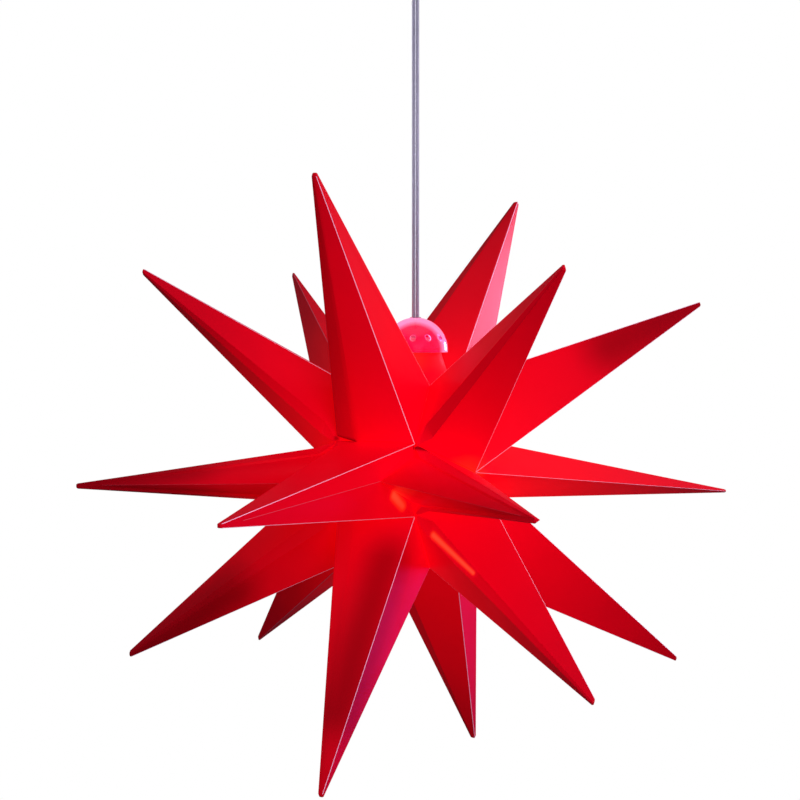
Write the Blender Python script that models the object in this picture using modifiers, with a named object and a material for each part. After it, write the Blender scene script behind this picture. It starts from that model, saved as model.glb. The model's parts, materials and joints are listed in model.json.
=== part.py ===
"""Lit plastic star with eighteen plug-together spikes, hung on a clear cord from a ceiling hook.

The frame is in metres with +Z up. The origin is the middle of the ceiling plate's top face.
The star's front is towards -Y, and its two poles lie on the X axis through its centre.
"""

import math
from collections import namedtuple

import bmesh
import bpy
from mathutils import Matrix, Vector

# Clearances and overruns shared by all pieces
SEAT_GAP = 0.0003
CUT_OVERRUN = 0.002
MERGE_DISTANCE = 0.00001

# Star: where its centre hangs, and how far its tips reach
STAR_DROP = 0.480
RING_SPIKE_REACH = 0.2865
SIDE_SPIKE_REACH = 0.2795

# Hollow core that the spikes stand on. Forward is towards the front of the star.
CORE_RIGHT_WIDTH = 0.0335
CORE_LEFT_WIDTH = 0.0415
POLE_DISTANCE = 0.0695
POLE_FORWARD = 0.0245
POLE_RISE = 0.0050
FRONT_DEPTH = 0.0620
FRONT_HALF_HEIGHT = 0.0295
BACK_DEPTH = 0.0580
BACK_HALF_HEIGHT = 0.0280
MOUTH_RIGHT_WIDTH = 0.0300
MOUTH_LEFT_WIDTH = 0.0485
MOUTH_FRONT = 0.0300
MOUTH_BACK = 0.0160
MOUTH_HEIGHT = 0.0755

# Spike walls and blunt tips
SPIKE_WALL = 0.0010
TIP_WIDTH = 0.0048
TIP_ROUND = 0.0012
TIP_END_SHARE = 0.55
TIP_SOLID = 0.016

# Soft corners of the spikes: how far each is cut back along its foot's edges, and its growth from the foot
SOFT_CUT = 0.0100
BACK_CUT = 0.0120
WIDE_CUT_ACROSS = 0.0200
WIDE_CUT_BESIDE = 0.0050
SOFT_FOOT_SHARE = 0.3
SOFT_RISE = 0.014

# Joint flanges round each spike's foot, and the click tabs that hold neighbours together
FLANGE_DEPTH = 0.008
FLANGE_GAP = 0.0004
TAB_WIDTH = 0.008
TAB_HALF_HEIGHT = 0.0009
TAB_BARB = 0.0008
TAB_HEAD = 0.0016
TAB_SIDE_STEP = 0.009
TABBED_EDGE_LENGTH = 0.034

# Neck that the lamp goes in through
NECK_RISE = 0.0254
NECK_TOP_RADIUS = 0.0214
NECK_WAIST_RADIUS = 0.0236
NECK_WAIST_SHARE = 0.73
NECK_FLARE_RADIUS = 0.0268
NECK_FLARE_SHARE = 0.42
NECK_WALL = 0.0012
NECK_STEP = 10

# Clear domed cap and the plate that closes it
DOME_RADIUS = 0.0270
DOME_WALL = 0.0020
DOME_RIM = 0.0018
VENT_RADIUS = 0.0026
VENT_HEIGHT = 0.0118
VENT_COUNT = 12
VENT_TURN_SHARE = 0.8
CAP_PLATE_THICKNESS = 0.0020
SKIRT_WALL = 0.0014
SKIRT_DEPTH = 0.0075
SNAP_BEAD = 0.0004
SNAP_COUNT = 3
SNAP_WIDTH = 0.0050
SNAP_THICKNESS = 0.0012
SNAP_HEIGHT = 0.0120

# Cord and its bush
CORD_RADIUS = 0.0031
CORD_CLEARANCE = 0.0003
CORD_STEP = 0.0160
CORD_START_IN_BUSH = 0.0030
BUSH_WALL = 0.0012
BUSH_FLANGE = 0.0022
BUSH_FLANGE_THICKNESS = 0.0012
BUSH_RISE = 0.0002
BUSH_DROP = 0.0075

# Lamp unit under the cap
HOLDER_RADIUS = 0.0120
HOLDER_WALL = 0.0018
HOLDER_LENGTH = 0.0340
HOLDER_FLANGE_RADIUS = 0.0160
HOLDER_FLANGE_THICKNESS = 0.0020
HOLDER_RISE = 0.0080
NUT_RADIUS = 0.0156
NUT_LENGTH = 0.0050
NUT_GRIPS = 12
NUT_GRIP_RADIUS = 0.0008
CLAMP_RADIUS = 0.0075
CLAMP_LENGTH = 0.0060
LED_BASE_LENGTH = 0.0100
LED_COLLAR_LENGTH = 0.0040
LED_FIN_COUNT = 12
LED_FIN_WIDTH = 0.0014
LED_FIN_DEPTH = 0.0016
BOARD_RADIUS = 0.0095
BOARD_THICKNESS = 0.0016
EMITTER_RADIUS = 0.0055
EMITTER_THICKNESS = 0.0010
BULB_RADIUS = 0.0120
BULB_WALL = 0.0012
BULB_STRAIGHT = 0.0180
BULB_RIM = 0.0024

# Hanger: plate, hook, ring, swivel eye and cord grip
PLATE_RADIUS = 0.0240
PLATE_THICKNESS = 0.0028
PLATE_EDGE = 0.0008
BOSS_RADIUS = 0.0070
BOSS_DEPTH = 0.0040
SCREW_OFFSET = 0.0155
SCREW_HEAD_RADIUS = 0.0042
SCREW_HEAD_DEPTH = 0.0020
SCREW_SHANK_RADIUS = 0.0018
SCREW_SLOT_WIDTH = 0.0009
SCREW_SLOT_DEPTH = 0.0009
HOOK_WIRE_RADIUS = 0.0015
HOOK_BEND = 0.0062
HOOK_STEM = 0.0175
RING_RADIUS = 0.0095
RING_WIRE_RADIUS = 0.0012
EYE_RADIUS = 0.0046
EYE_WIRE_RADIUS = 0.0011
EYE_SHANK_RADIUS = 0.0014
EYE_SHANK_LENGTH = 0.0070
EYE_HEAD_RADIUS = 0.0030
EYE_HEAD_THICKNESS = 0.0016
GRIP_RADIUS = 0.0085
GRIP_FOOT_RADIUS = 0.0052
GRIP_LENGTH = 0.0210
GRIP_POCKET_DEPTH = 0.0060
GRIP_POCKET_WALL = 0.0022
GRIP_CORD_DEPTH = 0.0110
GRIP_SHOULDER = 0.0070
GRIP_CAP_THICKNESS = 0.0024
GRIP_SCREW_RADIUS = 0.0016
GRIP_SCREW_LENGTH = 0.0030
GRIP_SCREW_DROP = 0.0150

# Facets round turned pieces
FINE_STEPS = 36
ROUND_STEPS = 26
WIRE_STEPS = 32
WIRE_SIDES = 10
DOME_ARC_STEPS = 8
BULB_ARC_STEPS = 7

RIGHT, LEFT = 1, -1

# Hook wire as (sideways, up) shares of its bend radius, from its stem round to its open point
HOOK_SHARES = (
    (0.00, 1.62),
    (-0.30, 1.20),
    (-0.82, 0.62),
    (-1.00, 0.00),
    (-0.71, -0.71),
    (0.00, -1.00),
    (0.71, -0.71),
    (1.00, 0.00),
    (1.12, 0.42),
)

# Spikes round the middle: the two core corners that each stands between, then the direction of its tip
# in degrees, as latitude towards the right pole and azimuth from straight up towards the front.
RING_SPIKES = {
    "ring_spike_top_front": (("mouth_front", "front_top"), 1.2, 35.2),
    "ring_spike_front": (("front_top", "front_bottom"), 1.0, 92.6),
    "ring_spike_bottom_front": (("front_bottom", "floor_front"), 1.8, 144.6),
    "ring_spike_bottom_back": (("floor_back", "back_bottom"), -1.4, -154.2),
    "ring_spike_back": (("back_bottom", "back_top"), 0.0, -97.0),
    "ring_spike_top_back": (("back_top", "mouth_back"), 3.2, -34.6),
}

# Spikes that meet at a pole: the core corners beside the pole, then the tip's direction on each side
SIDE_SPIKES = {
    "top_front": (("front_top", "mouth_front", "mouth_side"), (42.4, 37.2), (39.2, 39.4)),
    "front": (("front_bottom", "front_top"), (45.8, 92.2), (48.6, 91.6)),
    "bottom_front": (("floor_side", "floor_front", "front_bottom"), (48.2, 143.4), (38.6, 131.0)),
    "bottom_back": (("back_bottom", "floor_back", "floor_side"), (42.4, -142.6), (48.0, -159.0)),
    "back": (("back_top", "back_bottom"), (49.4, -96.8), (45.0, -97.0)),
    "top_back": (("mouth_side", "mouth_back", "back_top"), (46.6, -42.4), (43.4, -31.8)),
}

STAR_CENTRE = Vector((0, 0, -STAR_DROP))

# How a corner is cut back: along the edge before it, along the edge after it, and the share at the foot
Cut = namedtuple("Cut", "before after foot_share")


def clear_scene():
    """Removes every object, so that the model starts from nothing."""
    for obj in list(bpy.data.objects):
        bpy.data.objects.remove(obj, do_unlink=True)


def new_collection(name):
    """Returns a new collection linked to the scene."""
    made = bpy.data.collections.new(name)
    bpy.context.scene.collection.children.link(made)
    return made


def make_material(name, colour, roughness, metallic=0.0, alpha=1.0):
    """Returns a Principled material of that colour and finish."""
    made = bpy.data.materials.new(name)
    made.use_nodes = True
    shader = made.node_tree.nodes["Principled BSDF"]
    shader.inputs["Base Color"].default_value = (*colour, 1.0)
    shader.inputs["Roughness"].default_value = roughness
    shader.inputs["Metallic"].default_value = metallic
    shader.inputs["Alpha"].default_value = alpha
    return made


def red_plastic(name):
    """Translucent red moulded plastic of the star's shell."""
    return make_material(name, (0.72, 0.004, 0.012), 0.38)


def clear_plastic(name):
    """Clear moulded plastic of the cap and the cord's fittings."""
    return make_material(name, (0.92, 0.90, 0.95), 0.12, alpha=0.4)


def white_plastic(name):
    """Opaque white plastic of the lamp unit and the ceiling plate."""
    return make_material(name, (0.86, 0.86, 0.84), 0.45)


def bright_metal(name):
    """Nickel-plated steel of the hook, ring and screws."""
    return make_material(name, (0.70, 0.70, 0.71), 0.25, metallic=1.0)


def add_object(name, mesh, material=None, collection=None):
    """Links a mesh as a named object with its own material."""
    obj = bpy.data.objects.new(name, mesh)
    (collection or PARTS).objects.link(obj)
    if material is not None:
        mesh.materials.append(material)
    return obj


def mesh_from_bmesh(name, bm):
    """Returns a mesh with the bmesh's faces pointing outwards, and frees the bmesh."""
    bmesh.ops.recalc_face_normals(bm, faces=bm.faces)
    mesh = bpy.data.meshes.new(name)
    bm.to_mesh(mesh)
    bm.free()
    return mesh


def hide_cutter(obj):
    """Marks an object as a cutter that is no part of the model."""
    obj.hide_render = True
    obj.display_type = "WIRE"
    return obj


def add_boolean(target, other, operation):
    """Cuts or joins the target with another object, exactly."""
    modifier = target.modifiers.new(operation.lower(), "BOOLEAN")
    modifier.operation = operation
    modifier.solver = "EXACT"
    modifier.object = other


def add_loft(bm, rings, closed=False):
    """Adds bands between rings of as many points, with end caps unless the last ring joins the first."""
    loops = [[bm.verts.new(point) for point in ring] for ring in rings]
    pairs = list(zip(loops, loops[1:]))
    if closed:
        pairs.append((loops[-1], loops[0]))
    else:
        bm.faces.new(loops[0])
        bm.faces.new(loops[-1])
    count = len(loops[0])
    for first, second in pairs:
        for i in range(count):
            j = (i + 1) % count
            bm.faces.new((first[i], first[j], second[j], second[i]))


def turned(name, profile, material, height=0.0, steps=ROUND_STEPS, collection=None, shift=(0, 0)):
    """Turns a profile of (radius, height) points about a vertical axis, outer side from top to bottom.

    A profile that starts and ends on the axis makes a solid piece, and any other one is closed into a ring.
    """
    mesh = bpy.data.meshes.new(name)
    edges = [(i, i + 1) for i in range(len(profile) - 1)]
    on_axis = profile[0][0] == 0 and profile[-1][0] == 0
    if not on_axis:
        edges.append((len(profile) - 1, 0))
    mesh.from_pydata([(radius, 0, z) for radius, z in profile], edges, [])
    obj = add_object(name, mesh, material, collection)
    obj.location = (shift[0], shift[1], height)
    screw = obj.modifiers.new("turn", "SCREW")
    screw.axis = "Z"
    screw.angle = math.tau
    screw.steps = steps
    screw.render_steps = steps
    screw.use_merge_vertices = True
    screw.merge_threshold = MERGE_DISTANCE
    screw.use_smooth_shade = True
    return obj


def add_box(bm, centre, axes, halves):
    """Adds a box whose three axes are unit vectors."""
    turn = Matrix([axes[0], axes[1], axes[2]]).transposed().to_4x4()
    scale = Matrix.Diagonal((2 * halves[0], 2 * halves[1], 2 * halves[2], 1))
    bmesh.ops.create_cube(bm, size=1, matrix=Matrix.Translation(centre) @ turn @ scale)


def add_cylinder(bm, start, end, radius, sides=ROUND_STEPS):
    """Adds a closed cylinder from one point to another."""
    along = end - start
    turn = Vector((0, 0, 1)).rotation_difference(along.normalized()).to_matrix().to_4x4()
    bmesh.ops.create_cone(
        bm,
        cap_ends=True,
        segments=sides,
        radius1=radius,
        radius2=radius,
        depth=along.length,
        matrix=Matrix.Translation((start + end) / 2) @ turn,
    )


def arc(radius, start, end, steps, rise=0.0):
    """Points of an arc about the axis, as (radius, height), from one angle above the horizon to another."""
    points = []
    for i in range(steps + 1):
        angle = math.radians(start + (end - start) * i / steps)
        points.append((radius * math.cos(angle), rise + radius * math.sin(angle)))
    return points


def at_star(height):
    """Height in the part's frame of a height above the star's centre."""
    return height - STAR_DROP


def meet(planes):
    """Point where three planes, each a normal and a distance, meet."""
    normals = Matrix([normal for normal, _ in planes])
    return normals.inverted() @ Vector([distance for _, distance in planes])


def plane_of(a, b, c):
    """Unit normal and distance of the plane through three points, facing away from the star's centre."""
    normal = (b - a).cross(c - a).normalized()
    if normal.dot(a) < 0:
        normal.negate()
    return normal, normal.dot(a)


def simple_corner(name, side):
    """Core corner with sizes of its own, from the star's centre, on the right or left side."""
    core = CORE_RIGHT_WIDTH if side == RIGHT else CORE_LEFT_WIDTH
    mouth = MOUTH_RIGHT_WIDTH if side == RIGHT else MOUTH_LEFT_WIDTH
    x, forward, z = {
        "pole": (POLE_DISTANCE, POLE_FORWARD, POLE_RISE),
        "front_top": (core, FRONT_DEPTH, FRONT_HALF_HEIGHT),
        "front_bottom": (core, FRONT_DEPTH, -FRONT_HALF_HEIGHT),
        "back_top": (core, -BACK_DEPTH, BACK_HALF_HEIGHT),
        "back_bottom": (core, -BACK_DEPTH, -BACK_HALF_HEIGHT),
        "mouth_front": (mouth, MOUTH_FRONT, MOUTH_HEIGHT),
        "mouth_back": (mouth, -MOUTH_BACK, MOUTH_HEIGHT),
        "floor_front": (mouth, MOUTH_FRONT, -MOUTH_HEIGHT),
        "floor_back": (mouth, -MOUTH_BACK, -MOUTH_HEIGHT),
    }[name]
    return Vector((side * x, -forward, z))


def corner(name, side):
    """Any core corner. The side corners of the mouth and floor lie where three faces of the core meet."""
    if name not in ("mouth_side", "floor_side"):
        return simple_corner(name, side)
    level, up = ("mouth", "top") if name == "mouth_side" else ("floor", "bottom")
    height = simple_corner(level + "_front", side).z
    faces = [
        plane_of(*(simple_corner(n, side) for n in ("pole", f"{end}_{up}", f"{level}_{end}")))
        for end in ("front", "back")
    ]
    return meet([*faces, (Vector((0, 0, 1)), height)])


def middle_of(points):
    """Mean of some points."""
    return sum(points, Vector()) / len(points)


def faces_outward(corners):
    """Whether a face's corners run anticlockwise as seen from outside the core."""
    normal = (corners[1] - corners[0]).cross(corners[2] - corners[1])
    return normal.dot(middle_of(corners)) > 0


def outward_order(corners):
    """Lists a face's corners anticlockwise as seen from outside the core."""
    return corners if faces_outward(corners) else corners[::-1]


def soften(corners, cuts, at_foot):
    """Cuts each soft corner of a face back to a short edge, and lists the edges without a neighbour."""
    points, open_edges = [], set()
    count = len(corners)
    for i, (point, cut) in enumerate(zip(corners, cuts)):
        if cut is None:
            points.append(point)
            continue
        share = cut.foot_share if at_foot else 1
        before = (corners[i - 1] - point).normalized()
        after = (corners[(i + 1) % count] - point).normalized()
        open_edges.add(len(points))
        points += [point + before * cut.before * share, point + after * cut.after * share]
    return points, open_edges


def inset_rings(points, open_edges, normal, levels, inset):
    """Rings of a foot's wall at levels along its normal, drawn in from planes through the star's centre."""
    count = len(points)
    walls = []
    for i in range(count):
        side = points[i].cross(points[(i + 1) % count]).normalized()
        walls.append((side, inset - (FLANGE_GAP / 2 if i in open_edges else 0)))
    return [
        [meet([walls[i - 1], walls[i], (normal, level)]) for i in range(count)] for level in levels
    ]


def tip_direction(latitude, azimuth):
    """Unit vector to a spike's tip."""
    lat, az = math.radians(latitude), math.radians(azimuth)
    return Vector((math.sin(lat), -math.cos(lat) * math.sin(az), math.cos(lat) * math.cos(az)))


def shrink(points, apex, share):
    """Points moved towards an apex, to a share of their distance from it."""
    return [apex + (point - apex) * share for point in points]


def spike_rings(corners, cuts, direction, reach):
    """Rings of a hollow spike, from its blunt tip down its outside and up its inside.

    A soft corner's flat is narrow at the foot, and full where the spike has risen a little above it.
    """
    normal, foot_level = plane_of(*corners[:3])
    levels = (foot_level, foot_level - FLANGE_DEPTH)
    foot, open_edges = soften(corners, cuts, at_foot=True)
    full, _ = soften(corners, cuts, at_foot=False)
    outer_inset, inner_inset = FLANGE_GAP / 2, FLANGE_GAP / 2 + SPIKE_WALL
    outer_foot, outer_end = inset_rings(foot, open_edges, normal, levels, outer_inset)
    inner_foot, inner_end = inset_rings(foot, open_edges, normal, levels, inner_inset)
    (outer_full,) = inset_rings(full, open_edges, normal, levels[:1], outer_inset)
    (inner_full,) = inset_rings(full, open_edges, normal, levels[:1], inner_inset)
    end = direction * reach
    foot_middle = middle_of(corners)
    foot_radius = sum((p - foot_middle).length for p in outer_full) / len(outer_full)
    taper = TIP_WIDTH / 2 / foot_radius
    apex = foot_middle + (end - foot_middle) / (1 - taper)
    risen = 1 - SOFT_RISE / (apex - foot_middle).length
    tip = shrink(outer_full, apex, taper)
    tip_middle = middle_of(tip)
    nose = [end + (p - tip_middle) * TIP_END_SHARE for p in tip]
    shoulder = [p - direction * TIP_ROUND for p in tip]
    inner_apex = apex - direction * TIP_SOLID
    outside = [nose, shoulder, shrink(outer_full, apex, risen), outer_foot, outer_end]
    inner_shares = (risen, taper)
    inside = [inner_end, inner_foot, *(shrink(inner_full, inner_apex, share) for share in inner_shares)]
    return outside + inside


def tab_frames(corners):
    """Place and axes of the click tab and the slot on each long edge of a face."""
    frames = []
    count = len(corners)
    for i in range(count):
        first, second = corners[i], corners[(i + 1) % count]
        along = second - first
        if along.length < TABBED_EDGE_LENGTH:
            continue
        along.normalize()
        middle = (first + second) / 2
        inward = -(middle - along * middle.dot(along)).normalized()
        outward = along.cross(-inward).normalized()
        centre = middle + inward * FLANGE_DEPTH / 2
        frames.append((centre, along, inward, outward))
    return frames


def add_tab(bm, centre, along, inward, outward):
    """Adds one barbed tab that reaches through the neighbour's flange."""
    root = -FLANGE_GAP / 2 - SPIKE_WALL / 2
    catch = FLANGE_GAP / 2 + SPIKE_WALL + SEAT_GAP
    head = catch + TAB_HEAD
    profile = (
        (root, -TAB_HALF_HEIGHT),
        (catch, -TAB_HALF_HEIGHT),
        (catch, -TAB_HALF_HEIGHT - TAB_BARB),
        (head, -TAB_HALF_HEIGHT),
        (head, TAB_HALF_HEIGHT),
        (root, TAB_HALF_HEIGHT),
    )
    start = centre + along * (TAB_SIDE_STEP - TAB_WIDTH / 2)
    ends = (start, start + along * TAB_WIDTH)
    add_loft(bm, [[end + outward * out + inward * down for out, down in profile] for end in ends])


def add_slot(bm, centre, along, inward, outward):
    """Adds the cutter of one slot in a flange, for the neighbour's tab."""
    reach = FLANGE_GAP / 2 + SPIKE_WALL + CUT_OVERRUN
    place = centre - along * TAB_SIDE_STEP - outward * reach / 2
    halves = (TAB_WIDTH / 2 + SEAT_GAP, TAB_HALF_HEIGHT + SEAT_GAP, reach / 2)
    add_box(bm, place, (along, inward, outward), halves)


def add_joints(obj, corners):
    """Gives a piece of the shell the tabs and slots that hold it to its neighbours."""
    tabs, slots = bmesh.new(), bmesh.new()
    for frame in tab_frames(corners):
        add_tab(tabs, *frame)
        add_slot(slots, *frame)
    for bm, kind, operation in ((slots, "slots", "DIFFERENCE"), (tabs, "tabs", "UNION")):
        mesh = mesh_from_bmesh(f"{obj.name}_{kind}", bm)
        tool = hide_cutter(add_object(mesh.name, mesh, collection=CUTTERS))
        tool.location = STAR_CENTRE
        add_boolean(obj, tool, operation)


def make_spike(name, corners, cuts, direction, reach):
    """One hollow spike with a blunt tip, a flanged foot, click tabs and slots."""
    if not faces_outward(corners):
        corners = corners[::-1]
        cuts = [cut and Cut(cut.after, cut.before, cut.foot_share) for cut in cuts[::-1]]
    bm = bmesh.new()
    add_loft(bm, spike_rings(corners, cuts, direction, reach))
    obj = add_object(name, mesh_from_bmesh(name, bm), red_plastic(name))
    obj.location = STAR_CENTRE
    add_joints(obj, corners)
    return obj


def is_middle(name):
    """Whether a corner lies at the front or back of the core, and not at its mouth, floor or poles."""
    return name.startswith(("front", "back"))


def ring_cuts(first, second):
    """Cuts of a ring spike's corners: first and second on the right, then second and first on the left."""
    if is_middle(first) and is_middle(second):
        soft = Cut(SOFT_CUT, SOFT_CUT, SOFT_FOOT_SHARE)
        return [None, None, soft, soft]
    back = Cut(BACK_CUT, BACK_CUT, SOFT_FOOT_SHARE)
    right = [back if name.startswith("back") else None for name in (first, second)]
    shares = [1 if name.startswith("front") else SOFT_FOOT_SHARE for name in (second, first)]
    left = [
        Cut(WIDE_CUT_ACROSS, WIDE_CUT_BESIDE, shares[0]),
        Cut(WIDE_CUT_BESIDE, WIDE_CUT_ACROSS, shares[1]),
    ]
    return right + left


def make_ring_spikes():
    """The six four-sided spikes round the middle, with crisp right-hand corners and soft left-hand ones."""
    for name, ((first, second), latitude, azimuth) in RING_SPIKES.items():
        right = [corner(first, RIGHT), corner(second, RIGHT)]
        left = [corner(second, LEFT), corner(first, LEFT)]
        cuts = ring_cuts(first, second)
        make_spike(name, right + left, cuts, tip_direction(latitude, azimuth), RING_SPIKE_REACH)


def make_side_spikes():
    """The twelve three-sided spikes, six to a pole, each with a crisp corner at its pole."""
    soft = Cut(SOFT_CUT, SOFT_CUT, SOFT_FOOT_SHARE)
    for name, (beside, right_tip, left_tip) in SIDE_SPIKES.items():
        cuts = [None] + [soft if is_middle(n) else None for n in beside]
        for side, word, (latitude, azimuth) in ((RIGHT, "right", right_tip), (LEFT, "left", left_tip)):
            corners = [corner("pole", side)] + [corner(n, side) for n in beside]
            direction = tip_direction(side * latitude, azimuth)
            make_spike(f"{word}_spike_{name}", corners, cuts, direction, SIDE_SPIKE_REACH)


NECK_TOP_HEIGHT = MOUTH_HEIGHT + NECK_RISE
NECK_WAIST_HEIGHT = MOUTH_HEIGHT + NECK_RISE * NECK_WAIST_SHARE
NECK_FLARE_HEIGHT = MOUTH_HEIGHT + NECK_RISE * NECK_FLARE_SHARE


def mouth_corners(level):
    """Corners of the six-sided mouth or floor of the core."""
    order = [("_front", LEFT), ("_front", RIGHT), ("_side", RIGHT), ("_back", RIGHT), ("_back", LEFT)]
    order.append(("_side", LEFT))
    return outward_order([corner(level + end, side) for end, side in order])


def groove_depths(height):
    """How far forward and back the groove between the two top spikes is open at a height."""
    depths = []
    for name, foot in (("ring_spike_top_front", MOUTH_FRONT), ("ring_spike_top_back", -MOUTH_BACK)):
        _, latitude, azimuth = RING_SPIKES[name]
        tip = tip_direction(latitude, azimuth) * RING_SPIKE_REACH
        share = (height - MOUTH_HEIGHT) / (tip.z - MOUTH_HEIGHT)
        depths.append(foot + share * (-tip.y - foot))
    return depths


def even_shares(ring):
    """Shares along each side of a ring at which lines from its middle, evenly turned, cross that side."""
    shares = []
    for i, start in enumerate(ring):
        end = ring[(i + 1) % len(ring)]
        first, along = start.to_2d(), (end - start).to_2d()
        turn = first.angle_signed(end.to_2d())
        steps = max(1, round(abs(math.degrees(turn)) / NECK_STEP))
        for j in range(steps):
            ray = Matrix.Rotation(-turn * j / steps, 2) @ first
            shares.append((i, abs(first.cross(ray) / along.cross(ray)) if j else 0.0))
    return shares


def split_ring(ring, shares):
    """Points at given shares along the sides of a ring."""
    return [ring[i].lerp(ring[(i + 1) % len(ring)], share) for i, share in shares]


def neck_round(height, half_width, forward, back, ring):
    """Round section of the neck, with a point in the direction of each point of a ring."""
    middle = Vector((0, -(forward + back) / 2, height))
    half_depth = (forward - back) / 2
    points = []
    for point in ring:
        angle = math.atan2(point.y - middle.y, point.x)
        points.append(middle + Vector((half_width * math.cos(angle), half_depth * math.sin(angle), 0)))
    return points


def neck_side(wall):
    """Rings down one side of the neck's wall, drawn in by the wall from its outside."""
    corners = mouth_corners("mouth")
    levels = (MOUTH_HEIGHT, MOUTH_HEIGHT - FLANGE_DEPTH)
    feet = inset_rings(corners, (), Vector((0, 0, 1)), levels, FLANGE_GAP / 2 + wall)
    shares = even_shares(corners)
    mouth, end = (split_ring(foot, shares) for foot in feet)
    forward, back = groove_depths(NECK_FLARE_HEIGHT)
    clear = SEAT_GAP + FLANGE_GAP + wall
    flare_forward = min(forward - clear, NECK_FLARE_RADIUS - wall)
    flare_back = max(back + clear, wall - NECK_FLARE_RADIUS)
    rings = [
        neck_round(height, radius - wall, radius - wall, wall - radius, mouth)
        for height, radius in (
            (NECK_TOP_HEIGHT, NECK_TOP_RADIUS),
            (NECK_WAIST_HEIGHT, NECK_WAIST_RADIUS),
        )
    ]
    half_width = NECK_FLARE_RADIUS - wall
    rings.append(neck_round(NECK_FLARE_HEIGHT, half_width, flare_forward, flare_back, mouth))
    return rings + [mouth, end]


def make_neck():
    """Red neck on the core's mouth, lofted from a round rim to a six-sided flanged foot."""
    bm = bmesh.new()
    add_loft(bm, neck_side(0.0) + neck_side(NECK_WALL)[::-1], closed=True)
    obj = add_object("neck", mesh_from_bmesh("neck", bm), red_plastic("neck"))
    obj.location = STAR_CENTRE
    add_joints(obj, mouth_corners("mouth"))


def make_floor_cover():
    """Red six-sided cover that closes the core below, with the same flanges as the spikes."""
    corners = mouth_corners("floor")
    normal, level = plane_of(*corners[:3])
    levels = (level, level - FLANGE_DEPTH)
    outer = inset_rings(corners, (), normal, levels, FLANGE_GAP / 2)
    inner_levels = (level - FLANGE_DEPTH, level - SPIKE_WALL)
    inner = inset_rings(corners, (), normal, inner_levels, FLANGE_GAP / 2 + SPIKE_WALL)
    bm = bmesh.new()
    add_loft(bm, outer + inner)
    obj = add_object("floor_cover", mesh_from_bmesh("floor_cover", bm), red_plastic("floor_cover"))
    obj.location = STAR_CENTRE
    add_joints(obj, corners)


CAP_PLATE_BASE = NECK_TOP_HEIGHT + SEAT_GAP
CAP_PLATE_TOP = CAP_PLATE_BASE + CAP_PLATE_THICKNESS
DOME_CENTRE = CAP_PLATE_BASE + DOME_RIM
DOME_TOP = DOME_CENTRE + DOME_RADIUS
BUSH_RADIUS = CORD_RADIUS + CORD_CLEARANCE + BUSH_WALL
BUSH_TOP = DOME_TOP + BUSH_RISE
CORD_START = BUSH_TOP - CORD_START_IN_BUSH
HOLDER_TOP = CAP_PLATE_TOP + SEAT_GAP + HOLDER_FLANGE_THICKNESS + HOLDER_RISE
HOLDER_FOOT = HOLDER_TOP - HOLDER_LENGTH
LED_BASE_TOP = HOLDER_FOOT + LED_BASE_LENGTH - LED_COLLAR_LENGTH


def make_dome():
    """Clear dome with a ring of round vents and a hole for the cord's bush."""
    hole = BUSH_RADIUS + SEAT_GAP
    inner_radius = DOME_RADIUS - DOME_WALL
    outer_top = math.degrees(math.acos(hole / DOME_RADIUS))
    inner_top = math.degrees(math.acos(hole / inner_radius))
    outer = arc(DOME_RADIUS, outer_top, 0, DOME_ARC_STEPS)
    inner = arc(inner_radius, 0, inner_top, DOME_ARC_STEPS)
    rim = [(DOME_RADIUS, -DOME_RIM), (inner_radius, -DOME_RIM)]
    dome = turned(
        "cap_dome", outer + rim + inner, clear_plastic("cap_dome"), at_star(DOME_CENTRE), FINE_STEPS
    )
    bm = bmesh.new()
    for i in range(VENT_COUNT):
        out = Matrix.Rotation(math.tau * (i + VENT_TURN_SHARE) / VENT_COUNT, 3, "Z") @ Vector((1, 0, 0))
        start = Vector((0, 0, CAP_PLATE_BASE + VENT_HEIGHT)) + out * (inner_radius / 2)
        add_cylinder(bm, start, start + out * DOME_RADIUS, VENT_RADIUS, WIRE_SIDES)
    mesh = mesh_from_bmesh("cap_dome_vents", bm)
    vents = hide_cutter(add_object(mesh.name, mesh, collection=CUTTERS))
    vents.location = STAR_CENTRE
    add_boolean(dome, vents, "DIFFERENCE")


def make_cap_plate():
    """Clear plate that closes the dome, with a skirt that plugs into the neck."""
    edge = DOME_RADIUS - DOME_WALL - SEAT_GAP
    skirt = NECK_TOP_RADIUS - NECK_WALL - SEAT_GAP
    bore = HOLDER_RADIUS + SEAT_GAP
    foot = -SKIRT_DEPTH - SEAT_GAP
    profile = (
        (edge, CAP_PLATE_THICKNESS),
        (edge, 0),
        (skirt, 0),
        (skirt, foot),
        (skirt - SKIRT_WALL, foot),
        (skirt - SKIRT_WALL, 0),
        (bore, 0),
        (bore, CAP_PLATE_THICKNESS),
    )
    plate = turned(
        "cap_plate", profile, clear_plastic("cap_plate"), at_star(CAP_PLATE_BASE), FINE_STEPS
    )
    bm = bmesh.new()
    height = CAP_PLATE_TOP + SNAP_HEIGHT / 2 - CAP_PLATE_THICKNESS / 2
    for i in range(SNAP_COUNT):
        turn = Matrix.Rotation(math.tau * (i + 0.25) / SNAP_COUNT, 3, "Z")
        axes = [turn @ Vector(v) for v in ((1, 0, 0), (0, 1, 0), (0, 0, 1))]
        out = skirt - SKIRT_WALL / 2
        halves = (SNAP_THICKNESS / 2, SNAP_WIDTH / 2, SNAP_HEIGHT / 2)
        add_box(bm, axes[0] * out + Vector((0, 0, height)), axes, halves)
    mesh = mesh_from_bmesh("cap_plate_ribs", bm)
    ribs = hide_cutter(add_object(mesh.name, mesh, collection=CUTTERS))
    ribs.location = STAR_CENTRE
    add_boolean(plate, ribs, "UNION")


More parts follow.
